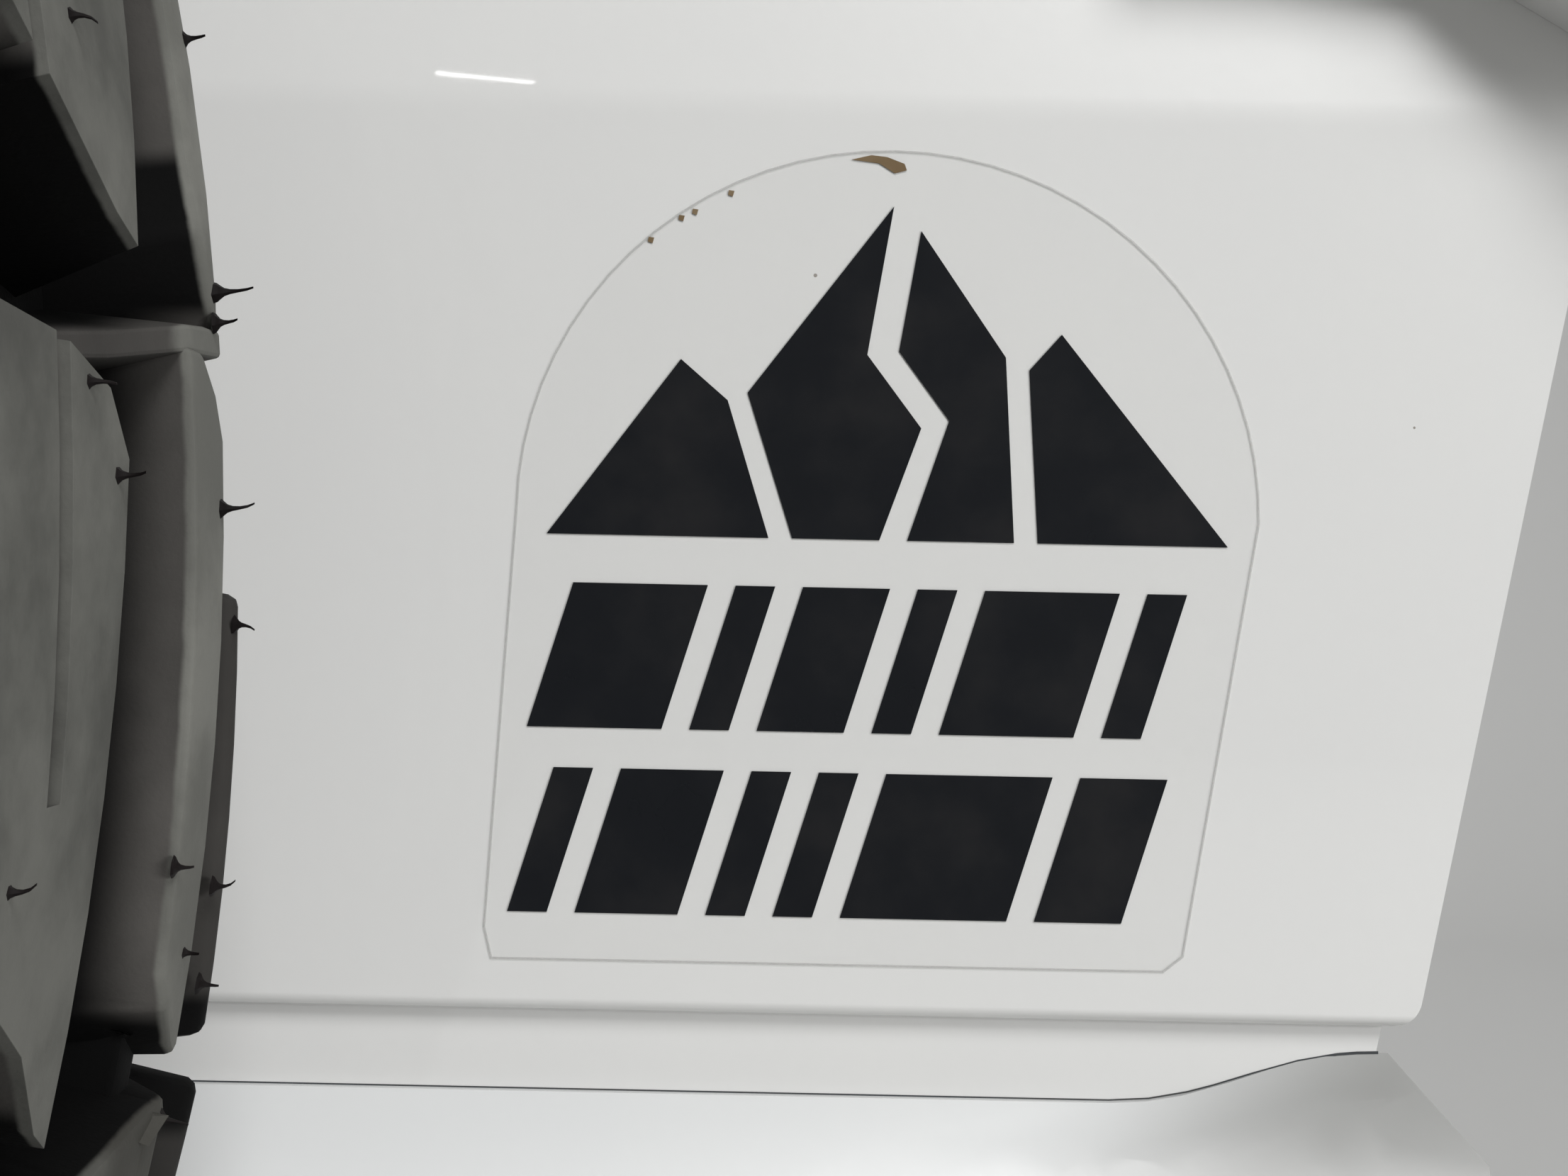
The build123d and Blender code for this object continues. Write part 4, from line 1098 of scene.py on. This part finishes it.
@dataclass
class SmallParts:
    """Tyre valve, trim clips and the bead pressed into the trim."""

    wheel_mm: tuple[float, float, float] = WHEEL_AXIS_MM
    valve_spot: tuple[float, float, float] = (172.5, -43.0, 62.0)
    valve_rings_mm: tuple[tuple[float, float], ...] = (
        (0.0, 7.5), (3.0, 7.0), (6.0, 4.8), (24.0, 3.6), (24.1, 4.6), (34.0, 4.6), (35.0, 3.8),
    )
    fold_mm: tuple[float, float] = (52.0, 76.0)
    lean_deg: float = 8.0
    clip_mm: tuple[float, float] = (9.0, 3.0)
    clips_mm: tuple[tuple[float, float], ...] = (
        (-478, 318), (-240, 318), (0, 318), (240, 318), (478, 318), (-486, 150), (486, 150),
        (-470, 20), (470, 20), (-430, -78), (-215, -78), (0, -78), (215, -78), (430, -78),
    )
    bead_mm: tuple[float, float, float, float] = (430.0, 112.0, 292.0, 5.0)
    bead_high_mm: float = 2.2
    bead_corner_mm: float = 26.0

    def build(self) -> None:
        """Make and dress the small parts."""
        dress(self.valve(), Body.DOOR, Rubber("valve_rubber").make())
        clips = joined([self.clip(x, z) for x, z in self.clips_mm], "trim_clips")
        settle(clips)
        smooth(clips)
        dress(clips, Body.DOOR, Coated("clip_plastic", roughness=0.5, grain=0.3).make())
        trim = Coated("bead_charcoal", colour=(0.045, 0.045, 0.048), roughness=0.6, grain=0.5)
        dress(self.bead(), Body.DOOR, trim.make())

    def on_trim(self, x_mm: float, z_mm: float) -> Matrix:
        """Give the frame of a place on the trim, with its local Z off the trim's face."""
        depth, fold = self.fold_mm
        lean = math.radians(self.lean_deg) if z_mm > fold else 0.0
        spot = place(x_mm, depth + max(z_mm - fold, 0.0) * math.tan(lean), z_mm)
        return Matrix.Translation(spot) @ Matrix.Rotation(-math.pi / 2 - lean, 4, "X")

    def valve(self) -> bpy.types.Object:
        """Draw the valve stem and its cap out of the rim's barrel."""
        radius, depth, turn = self.valve_spot
        (_, foot), *rings = self.valve_rings_mm
        deselect()
        bpy.ops.mesh.primitive_circle_add(vertices=16, radius=foot * MM, fill_type="NGON")
        piece = named("tyre_valve")
        with editing(piece):
            at, size = 0.0, foot
            for height, ring in rings:
                bpy.ops.mesh.extrude_region_move(TRANSFORM_OT_translate={"value": (0, 0, (height - at) * MM)})
                bpy.ops.transform.resize(value=(ring / size,) * 3)
                at, size = height, ring
            bpy.ops.mesh.select_all(action="SELECT")
            bpy.ops.mesh.normals_make_consistent(inside=False)
        angle = math.radians(turn)
        out = Vector((math.cos(angle), 0.0, math.sin(angle)))
        spot = place(*self.wheel_mm) + out * radius * MM + Vector((0, depth * MM, 0))
        along = (Vector((0, -1.0, 0)) - 0.3 * out).normalized()
        piece.matrix_world = Matrix.Translation(spot) @ along.to_track_quat("Z", "Y").to_matrix().to_4x4()
        settle(piece)
        smooth(piece)
        return piece

    def clip(self, x_mm: float, z_mm: float) -> bpy.types.Object:
        """Press one round clip into the trim."""
        radius, high = self.clip_mm
        deselect()
        bpy.ops.mesh.primitive_cylinder_add(vertices=20, radius=radius * MM, depth=high * MM)
        piece = named("clip")
        bevel(piece, 1.2, 2)
        piece.matrix_world = self.on_trim(x_mm, z_mm) @ Matrix.Translation((0, 0, 0.4 * high * MM))
        return piece

    def bead(self) -> bpy.types.Object:
        """Lay a raised border on the trim's upper part."""
        half, low, high, wide = self.bead_mm
        deselect()
        bpy.ops.mesh.primitive_plane_add(size=1.0)
        piece = named("trim_bead")
        piece.dimensions = (2 * half * MM, (high - low) * MM, 0.0)
        settle(piece)
        with editing(piece):
            bpy.ops.mesh.bevel(offset=self.bead_corner_mm * MM, segments=6, affect="VERTICES")
            bpy.ops.mesh.inset(thickness=wide * MM, depth=0)
            bpy.ops.mesh.delete(type="FACE")
            bpy.ops.mesh.select_all(action="SELECT")
            rise = 2 * self.bead_high_mm * MM
            bpy.ops.mesh.extrude_region_move(TRANSFORM_OT_translate={"value": (0, 0, rise)})
            bpy.ops.mesh.select_all(action="SELECT")
            bpy.ops.mesh.normals_make_consistent(inside=False)
        bevel(piece, 1.5, 3)
        sunk = Matrix.Translation((0, 0, -self.bead_high_mm * MM))
        piece.matrix_world = self.on_trim(0, (low + high) / 2) @ sunk
        settle(piece)
        smooth(piece)
        return piece


@dataclass
class Sticker:
    """Black vinyl motif of a mountain over two rows of slanted bars, on clear film."""

    centre_mm: tuple[float, float] = (453.0, 4.0)
    size_mm: tuple[float, float] = (124.0, 126.0)
    film_lift_mm: float = 0.04
    motif_lift_mm: float = 0.14
    thick_mm: float = 0.08
    rim_mm: float = 0.35

    def build(self) -> None:
        """Lay the film, its edge, the motif and the worn spots on the door's flat face."""
        film = self.sheet("sticker_film", self.film_outline(), self.film_lift_mm)
        clear = Vinyl(
            "clear_film", colour=(0.69, 0.69, 0.67), worn=(0.70, 0.70, 0.69), cover=0.04, roughness=0.36,
        )
        dress(film, Body.DOOR, clear.make())
        rim = self.sheet("film_rim", self.film_outline(), self.film_lift_mm + self.thick_mm, self.rim_mm)
        edge = Vinyl("film_edge", colour=(0.55, 0.55, 0.53), worn=(0.62, 0.62, 0.60), cover=0.28)
        dress(rim, Body.DOOR, edge.make())
        motif = self.marks("sticker_motif", self.motif())
        dress(motif, Body.DOOR, Vinyl("black_vinyl").make())
        chips = self.marks("sticker_chips", self.chips())
        brown = Vinyl("dried_glue", colour=(0.16, 0.11, 0.06), worn=(0.30, 0.24, 0.16), roughness=0.7)
        dress(chips, Body.DOOR, brown.make())

    def marks(self, name: str, outlines: list[Outline]) -> bpy.types.Object:
        """Cut several sheets and join them as one piece."""
        return joined([self.sheet("mark", outline, self.motif_lift_mm) for outline in outlines], name)

    def film_outline(self) -> Outline:
        """Give the film's outline as shares of the sticker's size: an arch over a slanted foot."""
        arch = [
            (0.47 * math.cos(turn), 0.06 + 0.455 * math.sin(turn))
            for turn in (math.pi * n / 36 for n in range(37))
        ]
        return arch + [(-0.50, -0.46), (-0.49, -0.50), (0.36, -0.50), (0.385, -0.48)]

    def motif(self) -> list[Outline]:
        """Give the motif's shapes as shares of the sticker's size."""
        peaks = [
            [(-0.43, 0.03), (-0.265, 0.25), (-0.205, 0.20), (-0.15, 0.03)],
            [(-0.12, 0.03), (-0.18, 0.21), (0.0, 0.445), (-0.03, 0.26), (0.04, 0.17), (-0.01, 0.03)],
            [(0.025, 0.03), (0.075, 0.18), (0.01, 0.265), (0.035, 0.415), (0.145, 0.26), (0.16, 0.03)],
            [(0.19, 0.03), (0.175, 0.245), (0.215, 0.29), (0.43, 0.03)],
        ]
        slanted = []
        for low, high, shift, widths in (
            (-0.21, -0.03, 0.0, (0.17, 0.05, 0.11, 0.05, 0.17, 0.05)),
            (-0.44, -0.26, -0.02, (0.05, 0.13, 0.05, 0.05, 0.21, 0.11)),
        ):
            left = -0.45 + shift
            lean, gap = 0.055, 0.035
            for width in widths:
                right = left + width
                slanted.append([(left, low), (right, low), (right + lean, high), (left + lean, high)])
                left = right + gap
        return peaks + slanted

    def chips(self) -> list[Outline]:
        """Give the worn spots at the film's top edge as shares of the sticker's size."""
        tear = [
            (-0.055, 0.502), (-0.02, 0.498), (0.0, 0.486), (0.015, 0.49), (0.012, 0.498), (-0.01, 0.506),
            (-0.03, 0.508),
        ]
        speck = [(0.0, 0.0), (0.006, -0.002), (0.008, 0.005), (0.001, 0.006)]
        dots = [(-0.31, 0.395), (-0.272, 0.423), (-0.255, 0.431), (-0.21, 0.455)]
        return [tear] + [[(x + across, y + up) for across, up in speck] for x, y in dots]

    def sheet(self, name: str, outline: Outline, lift_mm: float, rim_mm: float = 0.0) -> bpy.types.Object:
        """Cut one thin sheet from an outline and lay it on the face.

        Args:
            name: The piece's name.
            outline: Corners as shares of the sticker's size.
            lift_mm: How far its back stands off the paint.
            rim_mm: Width of the rim that is kept, or 0 for the whole sheet.

        Returns:
            The sheet as a closed mesh.
        """
        deselect()
        bpy.ops.mesh.primitive_circle_add(vertices=len(outline), radius=1.0, fill_type="NGON")
        piece = named(name)
        for vertex, (across, up) in zip(piece.data.vertices, outline):
            vertex.co = place(
                self.centre_mm[0] + across * self.size_mm[0], -lift_mm,
                self.centre_mm[1] + up * self.size_mm[1],
            )
        with editing(piece):
            if rim_mm:
                bpy.ops.mesh.inset(thickness=rim_mm * MM, depth=0)
                bpy.ops.mesh.delete(type="FACE")
                bpy.ops.mesh.select_all(action="SELECT")
            bpy.ops.mesh.extrude_region_move(TRANSFORM_OT_translate={"value": (0, -self.thick_mm * MM, 0)})
            bpy.ops.mesh.select_all(action="SELECT")
            bpy.ops.mesh.normals_make_consistent(inside=False)
        return piece


# Studio


@dataclass
class Studio:
    """Pale floor and backdrop, soft lights and the camera of the photograph."""

    camera_mm: tuple[float, float, float] = (437.0, -341.0, 0.0)
    roll_deg: float = 1.2
    lens_mm: float = 50.0
    sensor_mm: float = 36.0
    floor_gap_mm: float = 2.0
    floor_size: tuple[float, float] = (14.0, 8.0)
    floor_at: tuple[float, float] = (-0.6, -0.5)
    backdrop_high: float = 5.0
    sweep_mm: float = 1500.0
    floor_colour: Colour = (0.60, 0.60, 0.59)
    sky: Colour = (0.80, 0.805, 0.81)
    sky_strength: float = 0.14
    # place, target, size and power
    lamps: dict = field(default_factory=lambda: {
        "high": ((0.9, -2.6, 2.6), (-0.2, 0.0, -0.25), (1.6, 1.6), 104.0),
        "key": ((3.5, -2.9, 0.45), (-0.2, 0.0, -0.25), (2.0, 1.4), 114.0),
        "rear": ((-0.6, 2.7, 1.9), (-0.6, 0.0, 0.0), (2.6, 1.4), 24.0),
        "back": ((-0.4, 2.2, 2.0), (-0.4, 4.0, 0.1), (2.0, 1.2), 4.0),
        "strip": ((-0.650, -2.59, 1.311), (-0.24, 0.0, -0.125), (0.144, 0.003), 0.05),
    })

    def build(self) -> None:
        """Set up floor, light and camera."""
        self.floor()
        self.light()
        self.shoot()

    def floor(self) -> None:
        """Lay a floor that sweeps up into a backdrop."""
        low = CAD_BOX[0][2] - self.floor_gap_mm * MM
        deselect()
        bpy.ops.mesh.primitive_plane_add(size=1.0)
        floor = named("studio_floor")
        floor.dimensions = (*self.floor_size, 0.0)
        floor.location = (*self.floor_at, low)
        settle(floor)
        with editing(floor):
            bpy.ops.mesh.select_mode(type="EDGE")
            bpy.ops.mesh.select_all(action="DESELECT")
            shape = bmesh.from_edit_mesh(floor.data)
            for edge in shape.edges:
                edge.select_set(all(v.co.y > 3.0 for v in edge.verts))
            bmesh.update_edit_mesh(floor.data)
            bpy.ops.mesh.extrude_region_move(TRANSFORM_OT_translate={"value": (0, 0, self.backdrop_high)})
        bevel(floor, self.sweep_mm, 12)
        smooth(floor, 60.0)
        shader = Shader("studio_floor")
        floor.data.materials.append(shader.surface({"Base Color": self.floor_colour, "Roughness": 0.8}))

    def light(self) -> None:
        """Add soft lamps and an even sky."""
        world = bpy.data.worlds.new("studio_sky")
        bpy.context.scene.world = world
        world.use_nodes = True
        sky = world.node_tree.nodes["Background"]
        sky.inputs["Color"].default_value = (*self.sky, 1.0)
        sky.inputs["Strength"].default_value = self.sky_strength
        for name, (at, target, size, power) in self.lamps.items():
            lamp = bpy.data.lights.new(f"lamp_{name}", "AREA")
            lamp.shape = "RECTANGLE"
            lamp.size, lamp.size_y = size
            lamp.energy = power
            holder = bpy.data.objects.new(f"lamp_{name}", lamp)
            bpy.context.scene.collection.objects.link(holder)
            holder.visible_transmission = False
            holder.location = at
            holder.rotation_euler = (Vector(target) - Vector(at)).to_track_quat("-Z", "Y").to_euler()

    def shoot(self) -> None:
        """Set the camera where the photograph was taken."""
        lens = bpy.data.cameras.new("camera")
        lens.lens = self.lens_mm
        lens.sensor_width = self.sensor_mm
        lens.clip_start = 0.02
        camera = bpy.data.objects.new("camera", lens)
        bpy.context.scene.collection.objects.link(camera)
        camera.location = place(*self.camera_mm)
        level = Euler((math.pi / 2, 0.0, 0.0)).to_matrix()
        roll = Matrix.Rotation(math.radians(self.roll_deg), 3, "Z")
        camera.rotation_euler = (level @ roll).to_euler()
        bpy.context.scene.camera = camera
        bpy.context.scene.view_settings.view_transform = "Standard"


def main() -> None:
    """Build every sub-assembly."""
    logging.basicConfig(level=logging.INFO, format="%(message)s")
    for part in (DoorShell(), Hardware(), SpareWheel(), SmallParts(), Sticker(), Studio()):
        LOG.info("building %s", type(part).__name__)
        part.build()


if __name__ == "__main__":
    main()
